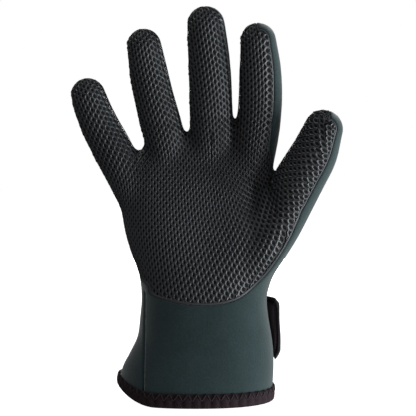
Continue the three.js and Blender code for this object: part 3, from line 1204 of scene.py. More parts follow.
@dataclass(frozen=True)
class RubberFinish:
    """Satin rubber coating of the palm: the pits' floor, the raised net or its border.

    Where the piece's mesh holds the layer that follows names, that layer paints a highlight on its high
    places and shade at their feet.
    """

    name: str
    shade: Shade
    roughness: float
    specular: float
    follows: str = ""

    def material(self) -> bpy.types.Material:
        """The rubber, faintly worn and grained, with the painted highlight and shade of its layer where it
        has one.
        """
        bench = NodeBench(bpy.data.materials.new(self.name))
        wear = bench.noise(size_mm=9.0, detail=4.0)
        part = wear
        # The layer paints highlight and shade over the rubber's worn tone.
        if self.follows:
            worn = bench.level(wear, low=0.7, high=1.25)
            part = bench.maths("MULTIPLY", bench.attribute(self.follows), worn)
        bench.join(bench.colour(part, self.shade), bench.shader.inputs["Base Color"])
        bench.gloss(self.roughness, self.specular)
        polish = bench.noise(size_mm=4.0)
        patch = bench.level(polish, low=self.roughness - 0.08, high=self.roughness + 0.1)
        bench.join(patch, bench.shader.inputs["Roughness"])
        bench.bump(bench.noise(size_mm=0.28, detail=2.0), depth_mm=0.05, strength=0.5)
        return bench.material


@dataclass(frozen=True)
class KnitFinish:
    """Fine knitted fabric bonded to the neoprene, or a knitted tape.

    Where the piece's mesh holds the layer that follows names, that layer darkens the colour as painted
    shade and shadow.
    """

    name: str
    shade: Shade
    pitch: float
    relief: float
    sheen: float
    roughness: float = 0.85
    follows: str = ""

    def material(self) -> bpy.types.Material:
        """The knit, with a fine stitch relief and a soft sheen."""
        bench = NodeBench(bpy.data.materials.new(self.name))
        wale = bench.wave(self.pitch, "X", bend=1.2)
        course = bench.wave(self.pitch * 1.25, "Z", bend=1.2)
        stitch = bench.maths("MULTIPLY", wale, course)
        mottle = bench.noise(size_mm=16.0, detail=5.0, rough=0.62)
        grain = bench.noise(size_mm=1.3, detail=3.0, rough=0.75)
        wide = bench.level(mottle, low=-0.35, high=0.75)
        fine = bench.level(grain, low=-0.45, high=1.05)
        part = bench.maths("ADD", wide, fine)
        # The layer darkens the knit's mottle and grain with painted shade and shadow.
        if self.follows:
            part = bench.maths("MULTIPLY", bench.attribute(self.follows), part)
        bench.join(bench.colour(part, self.shade), bench.shader.inputs["Base Color"])
        bench.gloss(self.roughness, specular=0.2, sheen=self.sheen)
        bench.bump(stitch, depth_mm=self.relief * 0.5, strength=0.6)
        bench.bump(grain, depth_mm=self.relief * 1.6, strength=0.8)
        return bench.material


@dataclass(frozen=True)
class PileFinish:
    """Loop pile or hook tape: a fuzzy or bristly black face."""

    name: str
    shade: Shade
    grain: float
    relief: float

    def material(self) -> bpy.types.Material:
        """The pile, matt with a rough relief."""
        bench = NodeBench(bpy.data.materials.new(self.name))
        grain = bench.noise(self.grain, detail=3.0, rough=0.7)
        bench.join(bench.colour(grain, self.shade), bench.shader.inputs["Base Color"])
        bench.gloss(roughness=0.9, specular=0.2, sheen=0.3)
        bench.bump(grain, self.relief)
        return bench.material


class Finishes:
    """Every finish of the glove, made once."""

    def __init__(self) -> None:
        """Makes the materials."""
        pit = RubberFinish("palm_rubber_pits", PIT_BLACK_PAINTED_SHADE, roughness=0.7, specular=0.12)
        net = RubberFinish("palm_rubber_net", NET_SHADE_TO_HIGHLIGHT, roughness=0.43, specular=0.6, follows=PAINTED_LIGHT_AND_SHADE)
        edge = RubberFinish("palm_rubber_edge", EDGE_BLACK, roughness=0.45, specular=0.5)
        green = KnitFinish("green_jersey", JERSEY_GREEN, pitch=0.7, relief=0.14, sheen=0.75)
        binding = KnitFinish("binding_knit", TAPE_BROWN, pitch=0.9, relief=0.18, sheen=0.04, follows=PAINTED_LIGHT_AND_SHADE)
        thread = KnitFinish("brown_thread", THREAD_BROWN, pitch=0.3, relief=0.05, sheen=0.1, roughness=0.6)
        strap = KnitFinish("strap_weave", STRAP_BLACK, pitch=1.1, relief=0.20, sheen=0.1)
        loop = PileFinish("loop_pile", PILE_BLACK, grain=0.6, relief=0.5)
        hook = PileFinish("hook_tape", HOOK_PLUM, grain=0.8, relief=0.35)
        self.pit = pit.material()
        self.net = net.material()
        self.edge = edge.material()
        self.green = green.material()
        self.binding = binding.material()
        self.thread = thread.material()
        self.strap = strap.material()
        self.loop = loop.material()
        self.hook = hook.material()


def dress(
    piece: bpy.types.Object,
    finish: bpy.types.Material,
    node: str | None = None,
) -> None:
    """Gives a finished piece its material and its body, and hides the CAD node that it stands for.

    Args:
        piece: The finished piece.
        finish: Its material.
        node: The CAD node that the piece stands for, if it does.
    """
    piece.data.materials.clear()
    piece.data.materials.append(finish)
    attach(piece, BODY)
    if node:
        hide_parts(node)
    LOG.info("%s: %d triangles", piece.name, sum(len(p.vertices) - 2 for p in piece.data.polygons))


class InstanceTree:
    """Geometry Nodes that put one shape at every point of a mesh, turned and stretched."""

    def __init__(self, name: str) -> None:
        """Builds the tree.

        Args:
            name: The node group's name.
        """
        self.group = bpy.data.node_groups.new(name, "GeometryNodeTree")
        face = self.group.interface
        face.new_socket("Geometry", in_out="INPUT", socket_type="NodeSocketGeometry")
        self.shape = face.new_socket("Shape", in_out="INPUT", socket_type="NodeSocketObject")
        self.relief = face.new_socket("Relief", in_out="INPUT", socket_type="NodeSocketFloat")
        self.finish = face.new_socket("Finish", in_out="INPUT", socket_type="NodeSocketMaterial")
        face.new_socket("Geometry", in_out="OUTPUT", socket_type="NodeSocketGeometry")
        nodes, links = self.group.nodes, self.group.links
        source = nodes.new("NodeGroupInput")
        result = nodes.new("NodeGroupOutput")
        shape = nodes.new("GeometryNodeObjectInfo")
        turn = nodes.new("GeometryNodeInputNamedAttribute")
        turn.data_type = "QUATERNION"
        turn.inputs["Name"].default_value = "turn"
        stretch = nodes.new("GeometryNodeInputNamedAttribute")
        stretch.data_type = "FLOAT_VECTOR"
        stretch.inputs["Name"].default_value = "stretch"
        lift = nodes.new("ShaderNodeCombineXYZ")
        lift.inputs["X"].default_value = 1.0
        lift.inputs["Y"].default_value = 1.0
        scale = nodes.new("ShaderNodeVectorMath")
        scale.operation = "MULTIPLY"
        spread = nodes.new("GeometryNodeInstanceOnPoints")
        real = nodes.new("GeometryNodeRealizeInstances")
        paint = nodes.new("GeometryNodeSetMaterial")
        links.new(source.outputs["Geometry"], spread.inputs["Points"])
        links.new(source.outputs["Shape"], shape.inputs["Object"])
        links.new(shape.outputs["Geometry"], spread.inputs["Instance"])
        links.new(turn.outputs["Attribute"], spread.inputs["Rotation"])
        links.new(source.outputs["Relief"], lift.inputs["Z"])
        links.new(stretch.outputs["Attribute"], scale.inputs[0])
        links.new(lift.outputs["Vector"], scale.inputs[1])
        links.new(scale.outputs["Vector"], spread.inputs["Scale"])
        links.new(spread.outputs["Instances"], real.inputs["Geometry"])
        links.new(real.outputs["Geometry"], paint.inputs["Geometry"])
        links.new(source.outputs["Finish"], paint.inputs["Material"])
        links.new(paint.outputs["Geometry"], result.inputs["Geometry"])

    def spread(
        self,
        name: str,
        shape: bpy.types.Object,
        centres: np.ndarray,
        axes: np.ndarray,
        stretch: np.ndarray,
        relief: float,
        finish: bpy.types.Material,
    ) -> bpy.types.Object:
        """Puts a shape at each centre and returns the result as one plain mesh.

        Args:
            name: The new object's name.
            shape: The shape that is repeated. It is removed afterwards.
            centres: The shape's places, in millimetres.
            axes: For each place the shape's x, y and z directions, as rows.
            stretch: For each place the shape's scale along those directions.
            relief: A further scale along its z.
            finish: The result's material.

        Returns:
            The object that holds the real geometry.
        """
        base = make_object(name + "_points", centres, [])
        turns = np.array([Matrix(rows.tolist()).transposed().to_quaternion()[:] for rows in axes])
        turn = base.data.attributes.new("turn", "QUATERNION", "POINT")
        turn.data.foreach_set("value", turns.ravel())
        scale = base.data.attributes.new("stretch", "FLOAT_VECTOR", "POINT")
        scale.data.foreach_set("vector", stretch.ravel())
        modifier = base.modifiers.new("repeat", "NODES")
        modifier.node_group = self.group
        modifier[self.shape.identifier] = shape
        modifier[self.relief.identifier] = relief
        modifier[self.finish.identifier] = finish
        base.update_tag()
        bpy.context.view_layer.update()
        shown = base.evaluated_get(bpy.context.evaluated_depsgraph_get())
        mesh = bpy.data.meshes.new_from_object(shown)
        for attribute in ("turn", "stretch"):
            if attribute in mesh.attributes:
                mesh.attributes.remove(mesh.attributes[attribute])
        mesh.name = name
        made = bpy.data.objects.new(name, mesh)
        bpy.context.scene.collection.objects.link(made)
        discard(base, shape)
        return made


@dataclass
class GripNet:
    """The raised net of the palm's embossing, around staggered oblong pits.

    column is the distance between the pits' columns, pit_pitch that between the pits of
    a column, and waist the half width of a cell's ends as a share of column. pit_width
    and pit_waist are half a pit's width at its middle and ends, and pit_length is half
    its length. The crest's tone at its corners, bumps and necks says how light it is
    painted along a cell's outline: a painted highlight, strongest on the bumps, that
    fades to painted shade at the pit's foot.
    """

    column: float = 1.8
    pit_pitch: float = 4.05
    waist: float = 0.27
    pit_width: float = 0.53
    pit_length: float = 1.02
    pit_waist: float = 0.25
    height: float = 0.38
    neck: float = 0.16
    bump: float = 0.10
    sink: float = 0.06
    overrun: float = 2.6
    # Painted highlight of the crest at its corners, bumps and necks.
    corner_highlight: float = 0.6
    bump_highlight: float = 1.0
    neck_highlight: float = 0.33
    shoulder: float = 0.55
    shoulder_height: float = 0.88
    same_within: float = 1.5
    even_rounds: int = 4

    def cell(self) -> bpy.types.Object:
        """One cell: the half ridges round a pit, from crest to foot.

        Each slanted ridge beside the pit swells to a bump in its middle, and the
        bridge to the pit above or below is a low neck.
        """

        def outline(wide: float, narrow: float, half: float) -> np.ndarray:
            """Twelve corners, with the wide pair at mid height and a point at top and bottom."""
            quarter = np.array([(wide, 0), ((wide + narrow) / 2, half / 2), (narrow, half)])
            upper = [*quarter, (0, half), *(quarter[::-1] * (-1, 1))]
            lower = [*(quarter[1:] * (-1, -1)), (0, -half), *(quarter[:0:-1] * (1, -1))]
            return np.array([*upper, *lower])

        crest = outline((1 - self.waist) * self.column, self.waist * self.column, self.pit_pitch / 2)
        pit = outline(self.pit_width, self.pit_waist, self.pit_length)
        swell = np.array([0, self.bump, 0, -self.neck, 0, self.bump] * 2)
        corner, bump, neck = self.corner_highlight, self.bump_highlight, self.neck_highlight
        # Painted highlight along the crest: lightest on the bumps, darkest at the necks.
        shown = np.array([corner, bump, corner, neck, corner, bump] * 2)
        foot = -self.sink / self.height
        rings, rise = [], []
        # The painted highlight fades inwards to painted shade at the pit's foot.
        for inward, high in ((0.0, 1.0), (self.shoulder, self.shoulder_height), (1.0, foot)):
            ring = crest + (pit - crest) * inward
            rings.append(np.column_stack([ring, high * self.height + swell * (1 - inward)]))
            rise.append(shown * (1 - inward**2))
        sides = len(crest)
        points = np.vstack(rings)
        faces = []
        for row in range(len(rings) - 1):
            for side in range(sides):
                after = (side + 1) % sides
                low, high = row * sides, (row + 1) * sides
                faces.append((low + side, low + after, high + after, high + side))
        made = make_object("net_cell", points, faces)
        mark(made, PAINTED_LIGHT_AND_SHADE, np.concatenate(rise))
        return made

    def places(self, sheet: Surface, net: np.ndarray) -> tuple[np.ndarray, np.ndarray, np.ndarray]:
        """Where the cells sit on a sheet.

        Args:
            sheet: The palm sheet's outer face.
            net: The net's coordinates at the sheet's points.

        Returns:
            Centres, axes and stretches of the cells.
        """
        tiny = 1e-9
        least_area = 1e-6
        most_columns, most_rows = 4, 2
        p, t = sheet.points, sheet.triangles
        a, b = p[t[:, 1]] - p[t[:, 0]], p[t[:, 2]] - p[t[:, 0]]
        ua, ub = net[t[:, 1]] - net[t[:, 0]], net[t[:, 2]] - net[t[:, 0]]
        det = ua[:, 0] * ub[:, 1] - ua[:, 1] * ub[:, 0]
        sound = np.abs(det) > least_area
        det = np.where(sound, det, 1.0)
        along_u = (a * ub[:, 1:2] - b * ua[:, 1:2]) / det[:, None]
        along_v = (b * ua[:, 0:1] - a * ub[:, 0:1]) / det[:, None]
        area = np.abs(det) * sound
        smooth_u, smooth_v = (self._to_points(sheet, values, area) for values in (along_u, along_v))
        low = net[t].min(1)
        high = net[t].max(1)
        first = np.ceil(low[:, 0] / self.column - tiny).astype(int)
        normals = sheet.layers["normal"]
        turned = det * np.sign(np.median(det)) <= 0
        sound &= ~turned
        centres, axes, stretches, numbers = [], [], [], []
        for extra in range(most_columns):
            i = first + extra
            u = i * self.column
            shift = (i % 2) * self.pit_pitch / 2
            start = np.ceil((low[:, 1] - shift) / self.pit_pitch - tiny).astype(int)
            for more in range(most_rows):
                v = (start + more) * self.pit_pitch + shift
                inside = sound & (u <= high[:, 0]) & (v <= high[:, 1])
                du, dv = u - net[t[:, 0], 0], v - net[t[:, 0], 1]
                s = (du * ub[:, 1] - dv * ub[:, 0]) / det
                r = (dv * ua[:, 0] - du * ua[:, 1]) / det
                inside &= (s >= 0) & (r >= 0) & (s + r < 1)
                chosen = np.flatnonzero(inside)
                weights = np.stack([1 - s - r, s, r], 1)[chosen][:, :, None]
                corner = t[chosen]
                centres.append((p[corner] * weights).sum(1))
                normal, u_run, v_run = (
                    (values[corner] * weights).sum(1) for values in (normals, smooth_u, smooth_v)
                )
                frame, lengths = self._frame(normal, u_run, v_run)
                axes.append(frame)
                stretches.append(lengths)
                numbers.append(np.stack([i[chosen], start[chosen] + more], 1))
        once = self._once(np.vstack(numbers), np.vstack(centres))
        return np.vstack(centres)[once], np.vstack(axes)[once], np.vstack(stretches)[once]

    @staticmethod
    def _frame(normal: np.ndarray, u_run: np.ndarray, v_run: np.ndarray) -> tuple[np.ndarray, np.ndarray]:
        """Square axes along the net's directions, and its stretch along them.

        Args:
            normal: The sheet's outward direction at each cell.
            u_run: How far and where a step of one in u goes on the sheet.
            v_run: The same for v.

        Returns:
            For each cell three axes as rows, and three stretches.
        """
        z_axis = unit(normal)
        x_axis = unit(u_run - z_axis * (u_run * z_axis).sum(1)[:, None])
        y_axis = np.cross(z_axis, x_axis)
        lengths = np.stack([
            np.linalg.norm(u_run, axis=1),
            np.abs((v_run * y_axis).sum(1)),
            np.ones(len(normal)),
        ], 1)
        return np.stack([x_axis, y_axis, z_axis], 1), lengths

    def _once(self, numbers: np.ndarray, centres: np.ndarray) -> np.ndarray:
        """Which cells are kept where a place on a shared edge was found twice."""
        order = np.lexsort((numbers[:, 1], numbers[:, 0]))
        same = (numbers[order][1:] == numbers[order][:-1]).all(1)
        apart = np.linalg.norm(centres[order][1:] - centres[order][:-1], axis=1)
        close = apart < self.same_within
        kept = np.ones(len(numbers), dtype=bool)
        kept[order[1:][same & close]] = False
        return kept

    def _to_points(self, sheet: Surface, values: np.ndarray, area: np.ndarray) -> np.ndarray:
        """Means of the triangles' vectors at the points, evened a little.

        Args:
            sheet: The surface.
            values: A vector for each triangle.
            area: The weight of each triangle.

        Returns:
            A vector at each point.
        """
        share = np.zeros(len(sheet.points))
        for corner in range(3):
            share += np.bincount(sheet.triangles[:, corner], area, len(sheet.points))
        total = sheet.at_points(values * area[:, None])
        return sheet.spread(total / np.maximum(share, 1e-9)[:, None], self.even_rounds)


@dataclass
class Sheets:
    """The palm sheet and the back sheet, with the raised net on the palm.

    gap is half the slit between the sheets. Their edges round down by groove over a
    width of roll, but by low_groove under the height low_until. border is the width of
    the palm's smooth border, onto which the net runs by border_lap. The back sheet's own
    side seam is a groove at side_seam_x, up to the height seam_top.
    """

    form: GloveForm
    finishes: Finishes
    wall: float = 3.0
    gap: float = 0.12
    groove: float = 0.55
    low_groove: float = 0.2
    low_until: float = 64.0
    deep_from: float = 84.0
    roll: float = 1.3
    border: float = 1.6
    border_lap: float = 0.2
    join_within: float = 0.16
    side_seam_x: float = -31.5
    seam_reach_y: float = -6.0
    seam_top: float = 64.0
    seam_groove: float = 1.5
    seam_roll: float = 1.1
    seam_fade: float = 3.0
    hem_trim: float = 0.3
    roll_cuts: tuple[float, ...] = (0.35, 0.8)
    seam_cuts: tuple[float, ...] = (-1.0, -0.45, -0.12, 0.12, 0.45, 1.0)

    def _rolled(self, sheet: Surface, layer: str, side: float) -> Surface:
        """Cuts a sheet at a line and rounds its edge down into the seam.

        Args:
            sheet: The surface with the line's distance as a layer.
            layer: The name of that layer.
            side: 1 keeps where the layer is negative, -1 where it is positive.

        Returns:
            The cut and rounded sheet.
        """
        sheet.layers["edge"] = sheet.layers[layer] * side
        kept = sheet.below("edge", -self.gap)
        for level in self.roll_cuts:
            kept.score("edge", -self.roll * level)
        kept = kept.largest_part()
        kept.layers["sink"] = self._seam_sink(kept)
        return kept

    def _seam_sink(self, sheet: Surface) -> np.ndarray:
        """How far a sheet rounds down at its edge, least along the palm's lower edge."""
        rise = smoothstep(self.low_until, self.deep_from, sheet.points[:, 2])
        deepest = self.low_groove + (self.groove - self.low_groove) * rise
        return np.clip(1 + sheet.layers["edge"] / self.roll, 0, 1) ** 2 * deepest

    def build(self) -> None:
        """Makes both sheets and the net and dresses them."""
        base = self.form.surface()
        lines = SheetLines(self.form)
        LOG.info("form: %d triangles", len(base.triangles))
        seam = base.points[:, 1] - lines.seam_depth(base.points)
        edge = lines.palm_edge(base.points)
        base.layers["palm"] = np.maximum(base.as_distance(seam), edge)
        base.layers["hem"] = lines.hem(base.points)
        base.layers["normal"] = base.normals()
        base = base.below("hem", -self.hem_trim)
        self._palm(base)
        self._back(base)

    def _palm(self, base: Surface) -> None:
        """The palm sheet: its pitted face and the raised net."""
        net = GripNet()
        palm = self._rolled(base, "palm", 1)
        palm.points = palm.sunk(palm.layers["sink"] + net.height)
        walled = palm.walled(self.wall - net.height)
        # The sheet under the net takes the pits' painted shade.
        dress(walled.as_object("palm_sheet"), self.finishes.pit, "palm_panel")
        self._border(base, net.height)
        carrier = base.below("palm", net.overrun).largest_part()
        carrier.layers["edge"] = carrier.layers["palm"]
        mapped = NetMap(self.form).coordinates(carrier, carrier.layers["edge"])
        carrier.points = carrier.sunk(net.height)
        centres, axes, stretch = net.places(carrier, mapped)
        tree = InstanceTree("net_of_cells")
        raised = tree.spread("net_cells", net.cell(), centres, axes, stretch, 1.0, self.finishes.net)
        LOG.info("net: %d cells", len(centres))
        cut = self._trimmed(raised, carrier)
        piece = cut.as_object("palm_net")
        # The net keeps its painted highlight and shade as a layer for its material.
        mark(piece, PAINTED_LIGHT_AND_SHADE, cut.layers[PAINTED_LIGHT_AND_SHADE])
        dress(piece, self.finishes.net)

    def _border(self, base: Surface, height: float) -> None:
        """The smooth border along the palm sheet's edge, where sewing presses the net flat."""
        strip = self._rolled(base, "palm", 1)
        strip.points = strip.sunk(strip.layers["sink"])
        strip.layers["inner"] = -strip.layers["edge"] - self.border
        strip = strip.below("inner")
        walled = strip.walled(height)
        dress(walled.as_object("palm_border"), self.finishes.edge)

    def _trimmed(self, raised: bpy.types.Object, carrier: Surface) -> Surface:
        """The net joined into one skin, cut at the sheet's edge and sunk into the seam.

        Args:
            raised: The net's cells as one mesh. It is removed.
            carrier: The surface that they stand on, with the edge's distance.

        Returns:
            The finished net.
        """
        joined = bmesh.new()
        joined.from_mesh(raised.data)
        bmesh.ops.remove_doubles(joined, verts=joined.verts, dist=self.join_within * MM)
        joined.to_mesh(raised.data)
        joined.free()
        rise = np.empty(len(raised.data.vertices))
        raised.data.attributes[PAINTED_LIGHT_AND_SHADE].data.foreach_get("value", rise)
        net = read_surface(raised)
        net.layers[PAINTED_LIGHT_AND_SHADE] = rise
        discard(raised)
        finder = KDTree(len(carrier.points))
        for index, point in enumerate(carrier.points.tolist()):
            finder.insert(point, index)
        finder.balance()
        nearest = np.array([finder.find(point)[1] for point in net.points.tolist()])
        edge, normals = carrier.layers["edge"], carrier.layers["normal"]
        grade = carrier.gradient(edge)
        offset = net.points - carrier.points[nearest]
        net.layers["edge"] = edge[nearest] + (grade[nearest] * offset).sum(1)
        net.layers["normal"] = normals[nearest]
        lap_end = self.border_lap - self.border
        net = net.below("edge", lap_end)
        depth = self._seam_sink(net)
        under = smoothstep(-self.border - self.border_lap, lap_end, net.layers["edge"])
        net.points = net.points - net.layers["normal"] * (depth + self.border_lap * under)[:, None]
        return net

    def _back(self, base: Surface) -> None:
        """The back sheet, which comes round to the front of the cuff and meets itself there."""
        back = self._rolled(base, "palm", -1)
        back.layers["side"] = back.points[:, 0] - self.side_seam_x
        for level in self.seam_cuts:
            back.score("side", level * self.seam_roll)
        front = smoothstep(self.seam_reach_y + self.seam_fade, self.seam_reach_y, back.points[:, 1])
        low = smoothstep(self.seam_top + self.seam_fade, self.seam_top, back.points[:, 2])
        share = np.clip(1 - np.abs(back.layers["side"]) / self.seam_roll, 0, 1)
        depth = self.seam_groove * share**2 * front * low
        back.points = back.sunk(back.layers["sink"] + depth)
        walled = back.walled(self.wall)
        dress(walled.as_object("back_sheet"), self.finishes.green, "back_panel")


@dataclass
class HemBinding:
    """The folded tape round the wrist opening, with its zigzag stitch.

    The stitch's upper ends lie stitch_rise above the tape's upper edge. upper_out and
    lower_out are how far its ends stand off the tape's face. The middle of each needle
    hole lies zigzag and hole_below under the tape's upper edge. The tape's colour holds
    painted shade in the needle holes and a painted shadow along its top edge.
    """

    form: GloveForm
    finishes: Finishes
    height: float = 8.6
    tape: float = 1.3
    lap: float = 0.35
    wall: float = 3.0
    stitch_pitch: float = 5.6
    zigzag: float = 4.2
    stitch_rise: float = 0.35
    upper_out: float = -0.45
    lower_out: float = 0.18
    thread: float = 0.75
    dimple: float = 0.6
    hole_below: float = 0.45
    hole_height: float = 0.65
    hole_power: int = 16
    # Painted shade in the needle holes, on top of their real dimple.
    painted_hole_shade: float = 0.9
    pucker: float = 0.16
    inner_pucker: float = 0.3
    wave: float = 0.2
    # Painted shadow along the tape's top edge: its tone at the edge and the band over which it fades.
    top_shadow_tone: float = 0.05
    top_shadow_from: float = 0.5
    top_shadow_to: float = 1.2
    steps: int = 432

    def _girth(self) -> tuple[np.ndarray, float]:
        """Angles spaced evenly round the hem, and the hem's length."""
        samples = 4001
        fine = np.linspace(0, 2 * math.pi, samples)
        ring = self.form.hand_point(fine, np.full_like(fine, self.form.heights[0]), self.tape)
        legs = np.concatenate([[0], np.cumsum(np.linalg.norm(np.diff(ring, axis=0), axis=1))])
        even = np.linspace(0, legs[-1], self.steps, endpoint=False)
        return np.interp(even, legs, fine), float(legs[-1])

    def _profile(self) -> list[tuple[float, float]]:
        """The tape's section round the sheet's edge, as pairs of outward and upward."""
        outer, inner = self.tape + self.lap, -self.wall - self.tape - self.lap
        top = self.height - outer
        middle, reach = (outer + inner) / 2, (outer - inner) / 2
        under = [
            (middle + reach * math.cos(turn), -self.lap - self.tape * 0.95 * abs(math.sin(turn)) ** 0.6)
            for turn in np.linspace(0, math.pi, 11)
        ]
        return [
            (self.lap, top),
            (self.lap + 0.2 * self.tape, top + 0.2),
            (self.lap + 0.42 * self.tape, top + 0.05),
            (self.lap + 0.62 * self.tape, top - 0.7),
            (outer - 0.1, top * 0.62),
            (outer, top * 0.47),
            (outer + 0.08, top * 0.36),
            (outer + 0.1, top * 0.24),
            *under,
            (inner, top * 0.5),
            (inner, top - 0.3),
            (inner + 0.5 * self.tape, top + 0.2),
            (-self.wall - self.lap, top - 0.1),
            (-self.wall - self.lap, -self.lap * 0.9),
            (self.lap, -self.lap * 0.9),
        ]

    def build(self) -> None:
        """Makes the tape and its stitches and dresses them."""
        angles, girth = self._girth()
        count = round(girth / self.stitch_pitch)
        phase = np.arange(self.steps) / self.steps * count * 2 * math.pi
        hem = self.form.heights[0]
        rings, painted_shading = [], []
        for angle, turn in zip(angles, phase):
            ring = []
            for out, up in self._profile():
                hole = self._hole(out, up, turn)
                # Painted shade in each needle hole, times the painted shadow along the top edge.
                painted_shading.append((1 - self.painted_hole_shade * hole) * self._top_shadow(up))
                puckered = 1 if out > 0 else self.inner_pucker
                pucker = self.pucker * math.cos(turn) * puckered - self.dimple * hole
                waved = 1 if out > 0 else 0
                wave = self.wave * math.cos(turn) * max(0.0, up / self.height) * waved
                z = np.array(hem + max(0.0, up) + wave)
                point = self.form.hand_point(np.array(angle), z, out + pucker * min(1.0, abs(out) / 2))
                ring.append(point + np.array([0, 0, min(0.0, up)]))
            rings.append(np.array(ring))
        points, faces = loft(rings, looped=True)
        piece = make_object("hem_tape", points, faces)
        # The tape keeps its painted shadow and shade as a layer for its material.
        mark(piece, PAINTED_LIGHT_AND_SHADE, np.array(painted_shading))
        dress(piece, self.finishes.binding, "hem_binding")
        self._stitches(count)

    def _hole(self, out: float, up: float, turn: float) -> float:
        """1 where the thread dives in at a zigzag's lower end, falling to 0 round it."""
        low = self.height - self.tape - self.lap - self.zigzag - self.hole_below
        if out < 0:
            return 0.0
        return math.sin(turn / 2) ** self.hole_power * math.exp(-(((up - low) / self.hole_height) ** 2))

    def _top_shadow(self, up: float) -> float:
        """The painted shadow along the tape's top edge, as how light the tape is at a height: nearly black
        at the edge.
        """
        top = self.height - self.tape - self.lap
        clear = float(smoothstep(self.top_shadow_from, self.top_shadow_to, top - up))
        return self.top_shadow_tone + (1 - self.top_shadow_tone) * clear

    def _stitches(self, count: int) -> None:
        """The zigzag thread, a leg at a time round the hem."""
        fine, _ = self._girth()
        legs = count * 2
        hem = self.form.heights[0]
        upper = np.arange(legs + 1) % 2 == 0
        marks = np.arange(legs + 1) / legs * len(fine)
        angle = np.interp(marks, np.arange(len(fine) + 1), np.append(fine, 2 * math.pi))
        top = self.height - self.tape - self.lap + self.stitch_rise
        z = hem + np.where(upper, top, top - self.zigzag)
        out = self.tape + self.lap + np.where(upper, self.upper_out, self.lower_out)
        ends = self.form.hand_point(angle, z, out)
        middles = (ends[1:] + ends[:-1]) / 2
        runs = ends[1:] - ends[:-1]
        between = (angle[1:] + angle[:-1]) / 2
        level = (z[1:] + z[:-1]) / 2
        outer = self.form.hand_point(between, level, 3.0)
        inner = self.form.hand_point(between, level, 2.0)
        outward = unit(outer - inner)
        x_axis = unit(runs)
        z_axis = unit(outward - x_axis * (outward * x_axis).sum(1)[:, None])
        y_axis = np.cross(z_axis, x_axis)
        axes = np.stack([x_axis, y_axis, z_axis], 1)
        stretch = np.stack([np.linalg.norm(runs, axis=1), np.full(legs, 1.0), np.full(legs, 1.0)], 1)
        tree = InstanceTree("zigzag_legs")
        leg = thread_leg(self.thread)
        made = tree.spread("hem_stitch", leg, middles, axes, stretch, 1.0, self.finishes.thread)
        dress(made, self.finishes.thread)


def thread_leg(thickness: float, steps: int = 7, sides: int = 6) -> bpy.types.Object:
    """A stitch of unit length along x that dives in at both ends.

    Args:
        thickness: The thread's thickness.
        steps: Rings along the stitch.
        sides: Points in a ring.

    Returns:
        The stitch as an object.
    """
    dive = 0.6
    least_swell = 0.08
    angle = np.linspace(0, 2 * math.pi, sides, endpoint=False)
    rings = []
    for part in np.linspace(-0.5, 0.5, steps):
        swell = math.sqrt(max(least_swell, 1 - (2 * part) ** 4))
        sink = -thickness * dive * (2 * part) ** 4
        rings.append(np.stack([
            np.full(sides, part),
            np.cos(angle) * thickness / 2 * swell,
            np.sin(angle) * thickness / 2 * swell + sink,
        ], 1))
    points, faces = loft(rings)
    return make_object("thread_leg", points, faces)


@dataclass(frozen=True)
class StrapPlan:
    """One layer of the wrist strap, over the back of the cuff, angles in degrees.

    gap is how far it stands off the cuff, loose how much further its loose end does at
    the upper edge, and tuck how far its very end is pressed back in. Only the strap
    itself has curled edges.
    """

    name: str
    node: str
    slot: Slot
    start: float
    end: float
    gap: float
    thick: float
    inset: float = 0.0
    loose: float = 0.0
    tuck: float = 0.0
    curled: bool = False


STRAP_LAYERS = (
    StrapPlan(
        name="loop_pad",
        node="loop_patch",
        slot=Slot.LOOP,
        start=18,
        end=84,
        gap=0.4,
        thick=1.2,
        inset=1.5,
    ),
    StrapPlan(
        name="hook_pad",
        node="hook_tab",
        slot=Slot.HOOK,
        start=-1.4,
        end=46,
        gap=2.0,
        thick=1.2,
        inset=3.8,
        loose=4.0,
        tuck=1.5,
    ),
    StrapPlan(
        name="strap",
        node="wrist_strap",
        slot=Slot.STRAP,
        start=-2,
        end=142,
        gap=3.6,
        thick=2.0,
        loose=4.0,
        tuck=1.5,
        curled=True,
    ),
)


